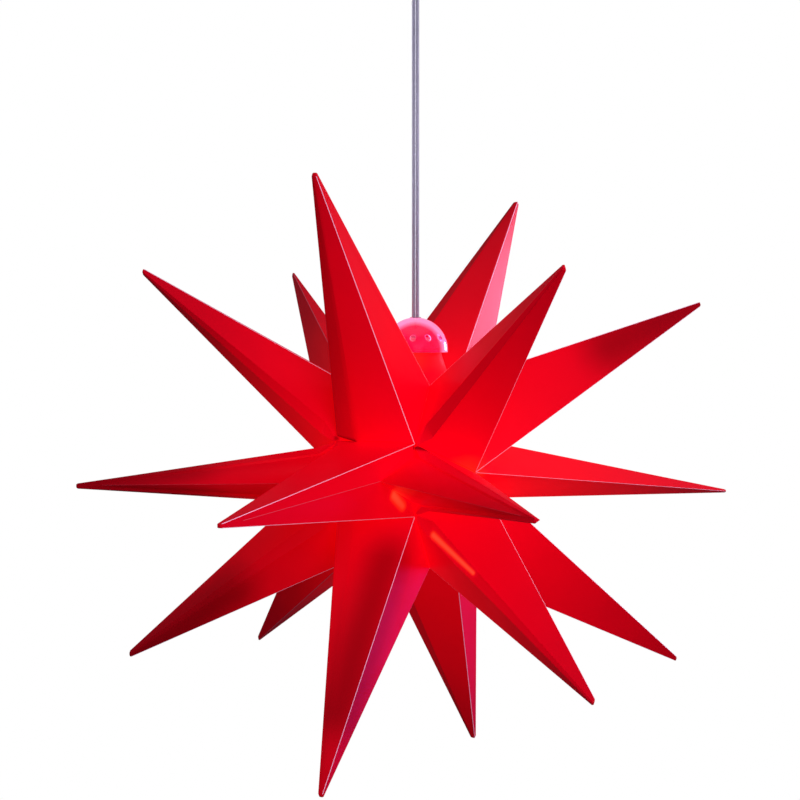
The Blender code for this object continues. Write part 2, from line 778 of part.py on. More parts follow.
def make_bush():
    """Clear bush that lines the dome's hole round the cord."""
    bore = CORD_RADIUS + CORD_CLEARANCE
    inner_top = math.sqrt((DOME_RADIUS - DOME_WALL) ** 2 - (BUSH_RADIUS + BUSH_FLANGE) ** 2)
    flange_top = DOME_CENTRE + inner_top - SEAT_GAP
    profile = (
        (BUSH_RADIUS, BUSH_TOP),
        (BUSH_RADIUS, flange_top),
        (BUSH_RADIUS + BUSH_FLANGE, flange_top),
        (BUSH_RADIUS + BUSH_FLANGE, flange_top - BUSH_FLANGE_THICKNESS),
        (BUSH_RADIUS, flange_top - BUSH_FLANGE_THICKNESS),
        (BUSH_RADIUS, BUSH_TOP - BUSH_DROP),
        (bore, BUSH_TOP - BUSH_DROP),
        (bore, BUSH_TOP),
    )
    turned("cord_bush", profile, clear_plastic("cord_bush"), at_star(0))


def make_lamp_holder():
    """White holder that hangs from the cap plate by a flange, with a nut under the plate."""
    bore = CORD_RADIUS + CORD_CLEARANCE
    flange_base = CAP_PLATE_TOP + SEAT_GAP
    flange_top = flange_base + HOLDER_FLANGE_THICKNESS
    inner = HOLDER_RADIUS - HOLDER_WALL
    profile = (
        (HOLDER_RADIUS, HOLDER_TOP),
        (HOLDER_RADIUS, flange_top),
        (HOLDER_FLANGE_RADIUS, flange_top),
        (HOLDER_FLANGE_RADIUS, flange_base),
        (HOLDER_RADIUS, flange_base),
        (HOLDER_RADIUS, HOLDER_FOOT),
        (inner, HOLDER_FOOT),
        (inner, HOLDER_TOP - HOLDER_WALL),
        (bore, HOLDER_TOP - HOLDER_WALL),
        (bore, HOLDER_TOP),
    )
    turned("lamp_holder", profile, white_plastic("lamp_holder"), at_star(0))
    nut_top = CAP_PLATE_BASE - SEAT_GAP
    ring = (
        (NUT_RADIUS, nut_top),
        (NUT_RADIUS, nut_top - NUT_LENGTH),
        (HOLDER_RADIUS + SEAT_GAP, nut_top - NUT_LENGTH),
        (HOLDER_RADIUS + SEAT_GAP, nut_top),
    )
    nut = turned("holder_nut", ring, white_plastic("holder_nut"), at_star(0))
    bm = bmesh.new()
    for i in range(NUT_GRIPS):
        out = Matrix.Rotation(math.tau * i / NUT_GRIPS, 3, "Z") @ Vector((NUT_RADIUS, 0, 0))
        top = out + Vector((0, 0, nut_top + CUT_OVERRUN))
        bottom = out + Vector((0, 0, nut_top - NUT_LENGTH - CUT_OVERRUN))
        add_cylinder(bm, bottom, top, NUT_GRIP_RADIUS, WIRE_SIDES)
    mesh = mesh_from_bmesh("holder_nut_grips", bm)
    grips = hide_cutter(add_object(mesh.name, mesh, collection=CUTTERS))
    grips.location = STAR_CENTRE
    add_boolean(nut, grips, "DIFFERENCE")


def make_cord_clamp():
    """White clamp on the cord's end that rests on the top of the holder."""
    bore = CORD_RADIUS + CORD_CLEARANCE
    base = HOLDER_TOP + SEAT_GAP
    profile = (
        (CLAMP_RADIUS - PLATE_EDGE, base + CLAMP_LENGTH),
        (CLAMP_RADIUS, base + CLAMP_LENGTH - PLATE_EDGE),
        (CLAMP_RADIUS, base),
        (bore, base),
        (bore, base + CLAMP_LENGTH),
    )
    turned("cord_clamp", profile, white_plastic("cord_clamp"), at_star(0))


def make_led():
    """LED insert: finned base in the holder, board, emitter and frosted bulb."""
    collar_top = HOLDER_FOOT - SEAT_GAP
    collar_base = collar_top - LED_COLLAR_LENGTH
    plug = HOLDER_RADIUS - HOLDER_WALL - SEAT_GAP
    profile = (
        (0, LED_BASE_TOP),
        (plug, LED_BASE_TOP),
        (plug, collar_top),
        (HOLDER_RADIUS, collar_top),
        (HOLDER_RADIUS, collar_base),
        (0, collar_base),
    )
    base = turned("led_base", profile, make_material("led_base", (0.8, 0.8, 0.82), 0.35, 0.9), at_star(0))
    bm = bmesh.new()
    for i in range(LED_FIN_COUNT):
        turn = Matrix.Rotation(math.tau * i / LED_FIN_COUNT, 3, "Z")
        axes = [turn @ Vector(v) for v in ((1, 0, 0), (0, 1, 0), (0, 0, 1))]
        height = (collar_top + collar_base) / 2
        halves = (LED_FIN_DEPTH, LED_FIN_WIDTH / 2, LED_COLLAR_LENGTH)
        add_box(bm, axes[0] * HOLDER_RADIUS + Vector((0, 0, height)), axes, halves)
    mesh = mesh_from_bmesh("led_base_gaps", bm)
    gaps = hide_cutter(add_object(mesh.name, mesh, collection=CUTTERS))
    gaps.location = STAR_CENTRE
    add_boolean(base, gaps, "DIFFERENCE")
    board_top = collar_base - SEAT_GAP
    board_base = board_top - BOARD_THICKNESS
    turned(
        "led_board",
        ((0, board_top), (BOARD_RADIUS, board_top), (BOARD_RADIUS, board_base), (0, board_base)),
        make_material("led_board", (0.85, 0.87, 0.85), 0.5),
        at_star(0),
    )
    emitter_top = board_base - SEAT_GAP
    emitter_base = emitter_top - EMITTER_THICKNESS
    turned(
        "led_emitter",
        (
            (0, emitter_top),
            (EMITTER_RADIUS, emitter_top),
            (EMITTER_RADIUS, emitter_base),
            (0, emitter_base),
        ),
        make_material("led_emitter", (0.95, 0.75, 0.2), 0.4),
        at_star(0),
    )
    rim_top = collar_base - SEAT_GAP
    inner = BULB_RADIUS - BULB_WALL
    centre = rim_top - BULB_RIM - BULB_STRAIGHT
    outer_arc = arc(BULB_RADIUS, 0, -90, BULB_ARC_STEPS, centre)
    inner_arc = arc(inner, -90, 0, BULB_ARC_STEPS, centre)
    on_axis = [(0, z) if abs(r) < MERGE_DISTANCE else (r, z) for r, z in outer_arc]
    back_up = [(0, z) if abs(r) < MERGE_DISTANCE else (r, z) for r, z in inner_arc]
    profile = [back_up[0], *back_up[1:], (inner, rim_top), (BULB_RADIUS, rim_top), *on_axis]
    bulb = turned("led_bulb", profile, make_material("led_bulb", (0.95, 0.93, 0.88), 0.5), at_star(0))
    return bulb


HOOK_CENTRE = -PLATE_THICKNESS - BOSS_DEPTH - HOOK_STEM + HOOK_BEND
HOOK_LOW = HOOK_CENTRE - HOOK_BEND
RING_TOP = HOOK_LOW + HOOK_WIRE_RADIUS + SEAT_GAP + RING_WIRE_RADIUS
RING_CENTRE = RING_TOP - RING_RADIUS
RING_LOW = RING_CENTRE - RING_RADIUS
EYE_TOP = RING_LOW + RING_WIRE_RADIUS + SEAT_GAP + EYE_WIRE_RADIUS
EYE_CENTRE = EYE_TOP - EYE_RADIUS
EYE_SHANK_TOP = EYE_CENTRE - EYE_RADIUS
EYE_FOOT = EYE_SHANK_TOP - EYE_SHANK_LENGTH
GRIP_TOP = EYE_FOOT + EYE_HEAD_THICKNESS + SEAT_GAP
GRIP_FOOT = GRIP_TOP - GRIP_LENGTH


def make_ceiling_plate():
    """Round plate that screws to the ceiling, with a boss for the hook and two screw holes."""
    hole = HOOK_WIRE_RADIUS + SEAT_GAP
    profile = (
        (PLATE_RADIUS, 0),
        (PLATE_RADIUS, -PLATE_THICKNESS + PLATE_EDGE),
        (PLATE_RADIUS - PLATE_EDGE, -PLATE_THICKNESS),
        (BOSS_RADIUS, -PLATE_THICKNESS),
        (BOSS_RADIUS - PLATE_EDGE, -PLATE_THICKNESS - BOSS_DEPTH),
        (hole, -PLATE_THICKNESS - BOSS_DEPTH),
        (hole, -PLATE_THICKNESS),
        (0, -PLATE_THICKNESS),
        (0, 0),
    )
    order = [profile[-1], *profile[:-1]]
    plate = turned("ceiling_plate", order, white_plastic("ceiling_plate"), 0, FINE_STEPS)
    bm = bmesh.new()
    for side in (RIGHT, LEFT):
        x = side * SCREW_OFFSET
        add_cylinder(
            bm,
            Vector((x, 0, -PLATE_THICKNESS - CUT_OVERRUN)),
            Vector((x, 0, CUT_OVERRUN)),
            SCREW_SHANK_RADIUS + SEAT_GAP,
            WIRE_SIDES,
        )
    mesh = mesh_from_bmesh("plate_screw_holes", bm)
    holes = hide_cutter(add_object(mesh.name, mesh, collection=CUTTERS))
    add_boolean(plate, holes, "DIFFERENCE")


def make_plate_screw(name, side):
    """Slotted round-head screw under the ceiling plate."""
    seat = -PLATE_THICKNESS - SEAT_GAP
    head = seat - SCREW_HEAD_DEPTH
    profile = (
        (0, 0),
        (SCREW_SHANK_RADIUS, 0),
        (SCREW_SHANK_RADIUS, seat),
        (SCREW_HEAD_RADIUS, seat),
        (SCREW_HEAD_RADIUS - PLATE_EDGE, head),
        (0, head),
    )
    shift = (side * SCREW_OFFSET, 0)
    screw = turned(name, profile, bright_metal(name), 0, ROUND_STEPS, shift=shift)
    bm = bmesh.new()
    axes = (Vector((1, 0, 0)), Vector((0, 1, 0)), Vector((0, 0, 1)))
    halves = (SCREW_HEAD_RADIUS + CUT_OVERRUN, SCREW_SLOT_WIDTH / 2, SCREW_SLOT_DEPTH)
    add_box(bm, Vector((shift[0], 0, head)), axes, halves)
    mesh = mesh_from_bmesh(f"{name}_slot", bm)
    slot = hide_cutter(add_object(mesh.name, mesh, collection=CUTTERS))
    add_boolean(screw, slot, "DIFFERENCE")


def make_hook():
    """Open hook of round wire, whose stem is held in the plate's boss."""
    curve = bpy.data.curves.new("ceiling_hook", "CURVE")
    curve.dimensions = "3D"
    curve.bevel_depth = HOOK_WIRE_RADIUS
    curve.bevel_resolution = 2
    curve.resolution_u = 3
    curve.render_resolution_u = 3
    curve.use_fill_caps = True
    spline = curve.splines.new("BEZIER")
    top = -PLATE_THICKNESS - SEAT_GAP
    places = [(0, top)] + [(x * HOOK_BEND, HOOK_CENTRE + z * HOOK_BEND) for x, z in HOOK_SHARES]
    spline.bezier_points.add(len(places) - 1)
    for point, (x, z) in zip(spline.bezier_points, places):
        point.co = (x, 0, z)
        point.handle_left_type = "AUTO"
        point.handle_right_type = "AUTO"
    curve.materials.append(bright_metal("ceiling_hook"))
    obj = bpy.data.objects.new("ceiling_hook", curve)
    PARTS.objects.link(obj)


def wire_ring(name, centre, radius, wire, turn, material, parent):
    """Ring of round wire, placed from its parent empty, which lies on its joint's axis."""
    bpy.ops.mesh.primitive_torus_add(
        rotation=turn,
        major_radius=radius,
        minor_radius=wire,
        major_segments=WIRE_STEPS,
        minor_segments=WIRE_SIDES,
    )
    obj = bpy.context.object
    obj.name = name
    obj.data.materials.append(material)
    for home in list(obj.users_collection):
        home.objects.unlink(obj)
    PARTS.objects.link(obj)
    obj.parent = parent
    obj.location = centre - parent.location
    obj.data.shade_smooth()
    return obj


def make_hanging_ring(parent):
    """Wire ring that hangs in the hook and swings about the hook's wire."""
    wire_ring(
        "hanging_ring",
        Vector((0, 0, RING_CENTRE)),
        RING_RADIUS,
        RING_WIRE_RADIUS,
        (0, math.pi / 2, 0),
        bright_metal("hanging_ring"),
        parent,
    )


def make_swivel_eye(parent):
    """Eye that hangs in the ring, with a headed shank that turns in the cord grip."""
    eye = wire_ring(
        "swivel_eye",
        Vector((0, 0, EYE_CENTRE)),
        EYE_RADIUS,
        EYE_WIRE_RADIUS,
        (math.pi / 2, 0, 0),
        bright_metal("swivel_eye"),
        parent,
    )
    root = EYE_SHANK_TOP - EYE_WIRE_RADIUS / 2
    head_top = EYE_FOOT + EYE_HEAD_THICKNESS
    profile = (
        (0, root),
        (EYE_SHANK_RADIUS, root),
        (EYE_SHANK_RADIUS, head_top),
        (EYE_HEAD_RADIUS, head_top),
        (EYE_HEAD_RADIUS, EYE_FOOT),
        (0, EYE_FOOT),
    )
    shank = hide_cutter(turned("swivel_eye_shank", profile, None, 0, ROUND_STEPS, CUTTERS))
    add_boolean(eye, shank, "UNION")


def make_grip():
    """Clear cord grip in two pieces, with the screw that pinches the cord."""
    pocket = GRIP_RADIUS - GRIP_POCKET_WALL
    pocket_floor = GRIP_TOP - GRIP_POCKET_DEPTH
    bore = CORD_RADIUS + CORD_CLEARANCE
    profile = (
        (GRIP_RADIUS, GRIP_TOP),
        (GRIP_RADIUS, GRIP_TOP - GRIP_SHOULDER),
        (GRIP_FOOT_RADIUS, GRIP_FOOT),
        (bore, GRIP_FOOT),
        (bore, GRIP_FOOT + GRIP_CORD_DEPTH),
        (0, GRIP_FOOT + GRIP_CORD_DEPTH),
        (0, pocket_floor),
        (pocket, pocket_floor),
        (pocket, GRIP_TOP),
    )
    lower, upper = profile[:6], profile[6:]
    grip = turned("grip_body", [*upper, *lower], clear_plastic("grip_body"), 0)
    cap_base = GRIP_TOP + SEAT_GAP
    cap = (
        (GRIP_RADIUS - PLATE_EDGE, cap_base + GRIP_CAP_THICKNESS),
        (GRIP_RADIUS, cap_base + GRIP_CAP_THICKNESS - PLATE_EDGE),
        (GRIP_RADIUS, cap_base),
        (EYE_SHANK_RADIUS + SEAT_GAP, cap_base),
        (EYE_SHANK_RADIUS + SEAT_GAP, cap_base + GRIP_CAP_THICKNESS),
    )
    turned("grip_cap", cap, clear_plastic("grip_cap"), 0)
    height = GRIP_TOP - GRIP_SCREW_DROP
    bm = bmesh.new()
    start = Vector((bore - CUT_OVERRUN / 2, 0, height))
    add_cylinder(
        bm, start, Vector((GRIP_RADIUS + CUT_OVERRUN, 0, height)), GRIP_SCREW_RADIUS + SEAT_GAP, WIRE_SIDES
    )
    mesh = mesh_from_bmesh("grip_screw_hole", bm)
    hole = hide_cutter(add_object(mesh.name, mesh, collection=CUTTERS))
    add_boolean(grip, hole, "DIFFERENCE")
    bm = bmesh.new()
    start = Vector((bore, 0, height))
    add_cylinder(bm, start, start + Vector((GRIP_SCREW_LENGTH, 0, 0)), GRIP_SCREW_RADIUS, WIRE_SIDES)
    add_object("grip_screw", mesh_from_bmesh("grip_screw", bm), bright_metal("grip_screw"))


def make_cord(name, low, high):
    """Straight stretch of the cord."""
    curve = bpy.data.curves.new(name, "CURVE")
    curve.dimensions = "3D"
    curve.bevel_depth = CORD_RADIUS
    curve.bevel_resolution = 4
    curve.use_fill_caps = True
    spline = curve.splines.new("POLY")
    steps = max(2, round((high - low) / CORD_STEP))
    spline.points.add(steps)
    for i, point in enumerate(spline.points):
        point.co = (0, 0, low + (high - low) * i / steps, 1)
    curve.materials.append(clear_plastic(name))
    obj = bpy.data.objects.new(name, curve)
    PARTS.objects.link(obj)


def joint_empty(name, height):
    """Empty on a joint's axis, below the origin."""
    empty = bpy.data.objects.new(name, None)
    empty.location = (0, 0, height)
    PARTS.objects.link(empty)
    return empty


def build():
    """Makes the whole hanging star."""
    make_ceiling_plate()
    make_plate_screw("plate_screw_right", RIGHT)
    make_plate_screw("plate_screw_left", LEFT)
    make_hook()
    hook_axis = joint_empty("hook_axis", HOOK_LOW)
    ring_axis = joint_empty("ring_axis", RING_LOW)
    make_hanging_ring(hook_axis)
    make_swivel_eye(ring_axis)
    make_grip()
    make_cord("cord", at_star(CORD_START), GRIP_FOOT + GRIP_CORD_DEPTH - SEAT_GAP)
    make_cord("cord_tail", at_star(HOLDER_TOP - HOLDER_WALL - CLAMP_LENGTH), at_star(CORD_START) - SEAT_GAP)
    make_dome()
    make_cap_plate()
    make_bush()
    make_cord_clamp()
    make_lamp_holder()
    make_led()
    make_neck()
    make_floor_cover()
    make_ring_spikes()
    make_side_spikes()


clear_scene()
PARTS = new_collection("hanging_star")
CUTTERS = new_collection("cutters")
build()
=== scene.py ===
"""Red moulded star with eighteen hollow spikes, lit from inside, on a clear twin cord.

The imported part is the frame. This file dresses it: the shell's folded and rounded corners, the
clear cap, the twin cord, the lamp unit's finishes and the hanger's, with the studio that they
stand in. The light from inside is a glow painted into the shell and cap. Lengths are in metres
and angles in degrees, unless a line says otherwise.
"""

import json
import logging
import math
from dataclasses import dataclass
from enum import Enum
from typing import Any, Callable, Iterable

import bmesh
import bpy
from mathutils import Matrix, Vector

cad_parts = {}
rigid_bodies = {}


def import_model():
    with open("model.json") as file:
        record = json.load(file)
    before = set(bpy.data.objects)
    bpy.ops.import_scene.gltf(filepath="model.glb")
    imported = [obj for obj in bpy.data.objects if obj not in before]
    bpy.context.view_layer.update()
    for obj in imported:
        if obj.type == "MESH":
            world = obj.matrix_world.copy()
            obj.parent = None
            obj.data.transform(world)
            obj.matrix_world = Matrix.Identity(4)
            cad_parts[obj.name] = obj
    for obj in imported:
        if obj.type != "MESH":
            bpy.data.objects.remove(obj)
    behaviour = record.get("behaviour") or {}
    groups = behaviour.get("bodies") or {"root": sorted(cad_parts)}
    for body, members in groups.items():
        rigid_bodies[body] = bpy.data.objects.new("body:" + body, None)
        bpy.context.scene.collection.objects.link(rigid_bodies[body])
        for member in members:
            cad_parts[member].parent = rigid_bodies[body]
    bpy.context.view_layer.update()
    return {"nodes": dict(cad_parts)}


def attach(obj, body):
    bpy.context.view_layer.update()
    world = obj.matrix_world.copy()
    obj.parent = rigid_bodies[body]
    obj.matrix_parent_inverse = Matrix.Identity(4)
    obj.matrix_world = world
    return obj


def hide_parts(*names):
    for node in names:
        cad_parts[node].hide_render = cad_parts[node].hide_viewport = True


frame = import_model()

LOG = logging.getLogger("star")

Point = tuple[float, float, float]
Colour = tuple[float, float, float, float]
Tree = bpy.types.NodeTree
Node = bpy.types.Node
Socket = bpy.types.NodeSocket
Material = bpy.types.Material
Thing = bpy.types.Object
Edge = bmesh.types.BMEdge

MM = 0.001
MERGE_DISTANCE = 0.01 * MM
FLAT_ANGLE = 0.5
WIRE_FACE_ANGLE = 40.0
WIRE_SHAPE_ANGLE = 60.0
ROUND_STEPS = 2
# The attribute here and the last face number below mark painted shade along soft corners.
CORNER_SHADE = "thick"
FOLD_INDEX, CREASE_INDEX, CORNER_SHADE_INDEX = 1, 2, 3
STAR_CENTRE = Vector((0.0, 0.0, -0.480))
VIEW_AZIMUTH = math.radians(28.9)
VIEW_ELEVATION = math.radians(5.35)


class Body(Enum):
    """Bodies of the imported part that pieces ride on."""

    CEILING = "ceiling_fitting"
    RING = "ring"
    EYE = "eye"
    PENDANT = "pendant"
    SHELL = "star_shell"


class Kind(Enum):
    """Kinds of mesh parts that can be picked in edit mode."""

    EDGES = "EDGE"
    FACES = "FACE"


class Combine(Enum):
    """What one closed body does to another."""

    JOIN = "UNION"
    CUT = "DIFFERENCE"


class Lobe(Enum):
    """Lobes of the twin cord, with the side of its axis that each lies on."""

    RIGHT = 1
    LEFT = -1


def linear(colour: str, strength: float = 1.0) -> Colour:
    """Turns an sRGB hex colour to linear light.

    Args:
        colour: Six hex digits after a hash sign.
        strength: Factor for the linear values.

    Returns:
        Linear red, green, blue and an alpha of 1.
    """
    values = []
    for i in (1, 3, 5):
        part = int(colour[i : i + 2], 16) / 255
        part = part / 12.92 if part <= 0.04045 else ((part + 0.055) / 1.055) ** 2.4
        values.append(part * strength)
    return (*values, 1.0)


def blend(first: str, second: str, share: float) -> Colour:
    """Mixes two sRGB hex colours in linear light, with the share of the second from 0 to 1."""
    return tuple(a + (b - a) * share for a, b in zip(linear(first), linear(second)))


def set_inputs(node: Node, values: dict[Any, Any]) -> None:
    """Sets a node's own input values, by socket name or number."""
    for socket, value in values.items():
        node.inputs[socket].default_value = value


def add_node(
    tree: Tree,
    kind: str,
    links: dict[Any, Socket] | None = None,
    inputs: dict[Any, Any] | None = None,
    **settings: Any,
) -> Node:
    """Adds a node, with what feeds it and its settings.

    Args:
        tree: Node tree that gets the node.
        kind: Node type without its prefix, such as Math.
        links: Sockets that feed the node's inputs, by socket name or number.
        inputs: Its own input values, by socket name or number.
        settings: Its properties by name.

    Returns:
        The new node.
    """
    node = tree.nodes.new(f"ShaderNode{kind}")
    set_inputs(node, inputs or {})
    for name, value in settings.items():
        setattr(node, name, value)
    for socket, source in (links or {}).items():
        tree.links.new(source, node.inputs[socket])
    return node


def set_ramp(node: Node, stops: Iterable[tuple[float, str, float]]) -> None:
    """Sets a colour ramp's stops.

    Args:
        node: Colour ramp node.
        stops: Places from 0 to 1, in order, with their hex colours and factors for the linear
            colours.
    """
    stops = list(stops)
    elements = node.color_ramp.elements
    while len(elements) < len(stops):
        elements.new(1.0)
    for element, (place, colour, strength) in zip(elements, stops):
        element.position = place
        element.color = linear(colour, strength)


@dataclass(frozen=True)
class Band:
    """Soft band on the shell round a straight line, whose ends are given from the star's centre.
    On the line it multiplies what it acts on by its least value, and at its radius by 1."""

    start: Point
    end: Point
    radius: float
    least: float


class Surface:
    """A material in the making: its node tree, its shader and its Object coordinates."""

    def __init__(self, name: str) -> None:
        """Starts the material with a Principled shader.

        Args:
            name: The material's name.
        """
        self.material = bpy.data.materials.new(name)
        self.material.use_nodes = True
        self.tree = self.material.node_tree
        self.shader = self.tree.nodes["Principled BSDF"]
        self.place = self.add("TexCoord").outputs["Object"]

    def add(self, kind: str, *values: dict[Any, Any] | None, **settings: Any) -> Node:
        """Adds a node to the material, with the links, inputs and settings of add_node."""
        return add_node(self.tree, kind, *values, **settings)

    def feed(self, name: str, source: Socket) -> None:
        """Links a socket to one of the shader's inputs."""
        self.tree.links.new(source, self.shader.inputs[name])

    def vary_gloss(self, size: float, detail: float, span: Iterable[float]) -> Socket:
        """Makes the roughness vary in soft patches.

        Args:
            size: Width of a patch.
            detail: Steps of finer patches in each one.
            span: Lowest and highest roughness.

        Returns:
            Socket with the patches, from 0 to 1.
        """
        scale = {"Scale": 1 / size, "Detail": detail}
        patches = self.add("TexNoise", {"Vector": self.place}, scale).outputs["Fac"]
        least, most = span
        rough = self.add("MapRange", {"Value": patches}, {"To Min": least, "To Max": most})
        self.feed("Roughness", rough.outputs["Result"])
        return patches

    def raise_grain(self, height: Socket, strength: float, depth: float) -> None:
        """Turns a pattern into a bump of this strength and depth."""
        bump = self.add("Bump", {"Height": height}, {"Strength": strength, "Distance": depth})
        self.feed("Normal", bump.outputs["Normal"])

    def turn_colour(self, name: str, share: float, *stops: tuple[float, str, float]) -> None:
        """Makes a colour change from where the wall faces the eye to its rim.

        Args:
            name: The shader's input with the colour.
            share: How wide the rim is, as a Layer Weight's blend.
            stops: The colour ramp's stops.
        """
        facing = self.add("LayerWeight", None, {"Blend": share})
        ramp = self.add("ValToRGB", {"Fac": facing.outputs["Facing"]})
        set_ramp(ramp, stops)
        self.feed(name, ramp.outputs["Color"])

    def line_distance(self, start: Vector, along: Vector) -> Socket:
        """Gives a point's distance from a straight line with two ends.

        Args:
            start: The line's start.
            along: From the line's start to its end.

        Returns:
            Socket with the distance.
        """
        kind = "VectorMath"
        offset = self.add(kind, {0: self.place}, {1: start}, operation="SUBTRACT").outputs["Vector"]
        way = along / along.length_squared
        share = self.add(kind, {0: offset}, {1: way}, operation="DOT_PRODUCT")
        held = self.add("Clamp", {"Value": share.outputs["Value"]})
        foot = self.add(kind, {"Scale": held.outputs["Result"]}, {0: along}, operation="SCALE")
        gap = self.add(kind, {0: offset, 1: foot.outputs["Vector"]}, operation="DISTANCE")
        return gap.outputs["Value"]

    def fade(self, value: Socket, bands: Iterable[Band]) -> Socket:
        """Lowers a value along bands.

        Args:
            value: Socket with the value.
            bands: The bands.

        Returns:
            Socket with the lowered value.
        """
        for band in bands:
            start, end = Vector(band.start), Vector(band.end)
            share = self.add(
                "MapRange",
                {"Value": self.line_distance(STAR_CENTRE + start, end - start)},
                {"From Max": band.radius, "To Min": band.least},
                interpolation_type="SMOOTHSTEP",
            )
            pair = {0: value, 1: share.outputs["Result"]}
            value = self.add("Math", pair, operation="MULTIPLY").outputs["Value"]
        return value


def deselect() -> None:
    """Deselects every object."""
    bpy.ops.object.select_all(action="DESELECT")


def activate(obj: Thing) -> None:
    """Makes an object the only selected one, and the active one.

    Args:
        obj: The object.
    """
    deselect()
    obj.select_set(True)
    bpy.context.view_layer.objects.active = obj


def edit(obj: Thing) -> None:
    """Opens an object in edit mode, with nothing picked.

    Args:
        obj: The object.
    """
    activate(obj)
    bpy.ops.object.mode_set(mode="EDIT")
    bpy.ops.mesh.select_mode(type="VERT")
    bpy.ops.mesh.select_all(action="DESELECT")


def leave_edit() -> None:
    """Goes back to object mode."""
    bpy.ops.object.mode_set(mode="OBJECT")


def pick(kind: Kind, test: Callable[[Any], bool]) -> None:
    """Picks the parts of the mesh in edit mode that pass a test, and no others.

    Args:
        kind: Which kind of part.
        test: What each one is tried with.
    """
    bpy.ops.mesh.select_mode(type=kind.value)
    mesh = bmesh.from_edit_mesh(bpy.context.object.data)
    bpy.ops.mesh.select_all(action="DESELECT")
    for part in mesh.edges if kind is Kind.EDGES else mesh.faces:
        if test(part):
            part.select_set(True)
    mesh.select_flush_mode()
    bmesh.update_edit_mesh(bpy.context.object.data)


def merge_all() -> None:
    """Picks the whole mesh in edit mode and merges the points that lie on each other."""
    bpy.ops.mesh.select_all(action="SELECT")
    bpy.ops.mesh.remove_doubles(threshold=MERGE_DISTANCE)


def face_outwards() -> None:
    """Turns every face of the mesh in edit mode outwards."""
    bpy.ops.mesh.select_all(action="SELECT")
    bpy.ops.mesh.normals_make_consistent(inside=False)


def bevel_picked(width: float) -> None:
    """Rounds the picked edges of the mesh in edit mode.

    Args:
        width: How far each edge is drawn back.
    """
    bpy.ops.mesh.bevel(
        offset_type="OFFSET", offset=width, segments=ROUND_STEPS, profile=0.5, affect="EDGES"
    )


def finish_picked(obj: Thing, index: int) -> None:
    """Gives the picked faces of an object in edit mode the material with this number."""
    obj.active_material_index = index
    bpy.ops.object.material_slot_assign()


def apply_place(obj: Thing) -> None:
    """Moves an object's place, turn and scale into its mesh."""
    activate(obj)
    bpy.ops.object.transform_apply(location=True, rotation=True, scale=True)


def apply_modifiers(obj: Thing) -> None:
    """Applies all of an object's modifiers in order.

    Args:
        obj: The object.
    """
    activate(obj)
    for modifier in list(obj.modifiers):
        bpy.ops.object.modifier_apply(modifier=modifier.name)


def smooth(obj: Thing, angle: float) -> None:
    """Smooths an object's shading across edges that turn by less than an angle."""
    activate(obj)
    bpy.ops.object.shade_smooth_by_angle(angle=math.radians(angle))


def dress(obj: Thing, *materials: Material) -> None:
    """Gives an object these materials in place of its own.

    Args:
        obj: The object.
        materials: Its materials, in the order of their numbers.
    """
    obj.data.materials.clear()
    for material in materials:
        obj.data.materials.append(material)


def settle(obj: Thing, name: str, body: Body, replaced: Iterable[str] = ()) -> Thing:
    """Names a finished piece and sets it on its body.

    Args:
        obj: The piece.
        name: Its name.
        body: Body that it rides on.
        replaced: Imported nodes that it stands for.

    Returns:
        The piece.
    """
    obj.name = name
    obj.data.name = name
    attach(obj, body.value)
    if replaced:
        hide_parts(*replaced)
    LOG.info("%s: %d faces on %s", name, len(obj.data.polygons), body.value)
    return obj


def copy_node(node: str, flats: bool = True) -> Thing:
    """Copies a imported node's mesh as a new piece, with its loose triangles merged.

    Args:
        node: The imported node.
        flats: Whether each flat becomes one face. A bent wire gets four-sided faces instead.

    Returns:
        The new object, at the origin.
    """
    obj = frame["nodes"][node].copy()
    obj.data = frame["nodes"][node].data.copy()
    obj.parent = None
    obj.matrix_world = Matrix.Identity(4)
    for key in list(obj.keys()):
        if key.startswith("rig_"):
            del obj[key]
    bpy.context.scene.collection.objects.link(obj)
    edit(obj)
    merge_all()
    if flats:
        bpy.ops.mesh.dissolve_limited(angle_limit=math.radians(FLAT_ANGLE))
    else:
        bpy.ops.mesh.tris_convert_to_quads(
            face_threshold=math.radians(WIRE_FACE_ANGLE),
            shape_threshold=math.radians(WIRE_SHAPE_ANGLE),
        )
    leave_edit()
    return obj


def round_edges(obj: Thing, width: float, angle: float = 32.0) -> None:
    """Rounds a piece's sharp edges and smooths its curved faces.

    Args:
        obj: The piece.
        width: How far each edge is drawn back.
        angle: Angle from which an edge counts as sharp.
    """
    bevel = obj.modifiers.new("round", "BEVEL")
    bevel.width = width
    bevel.segments = ROUND_STEPS
    bevel.limit_method = "ANGLE"
    bevel.angle_limit = math.radians(angle)
    apply_modifiers(obj)
    smooth(obj, angle)


def combine(obj: Thing, other: Thing, way: Combine) -> None:
    """Joins another closed body to an object or cuts it out, and removes the other.

    Args:
        obj: The object that stays.
        other: The object that is used up.
        way: Whether it is joined or cut out.
    """
    modifier = obj.modifiers.new("combine", "BOOLEAN")
    modifier.operation = way.value
    modifier.solver = "EXACT"
    modifier.object = other
    apply_modifiers(obj)
    bpy.data.objects.remove(other)


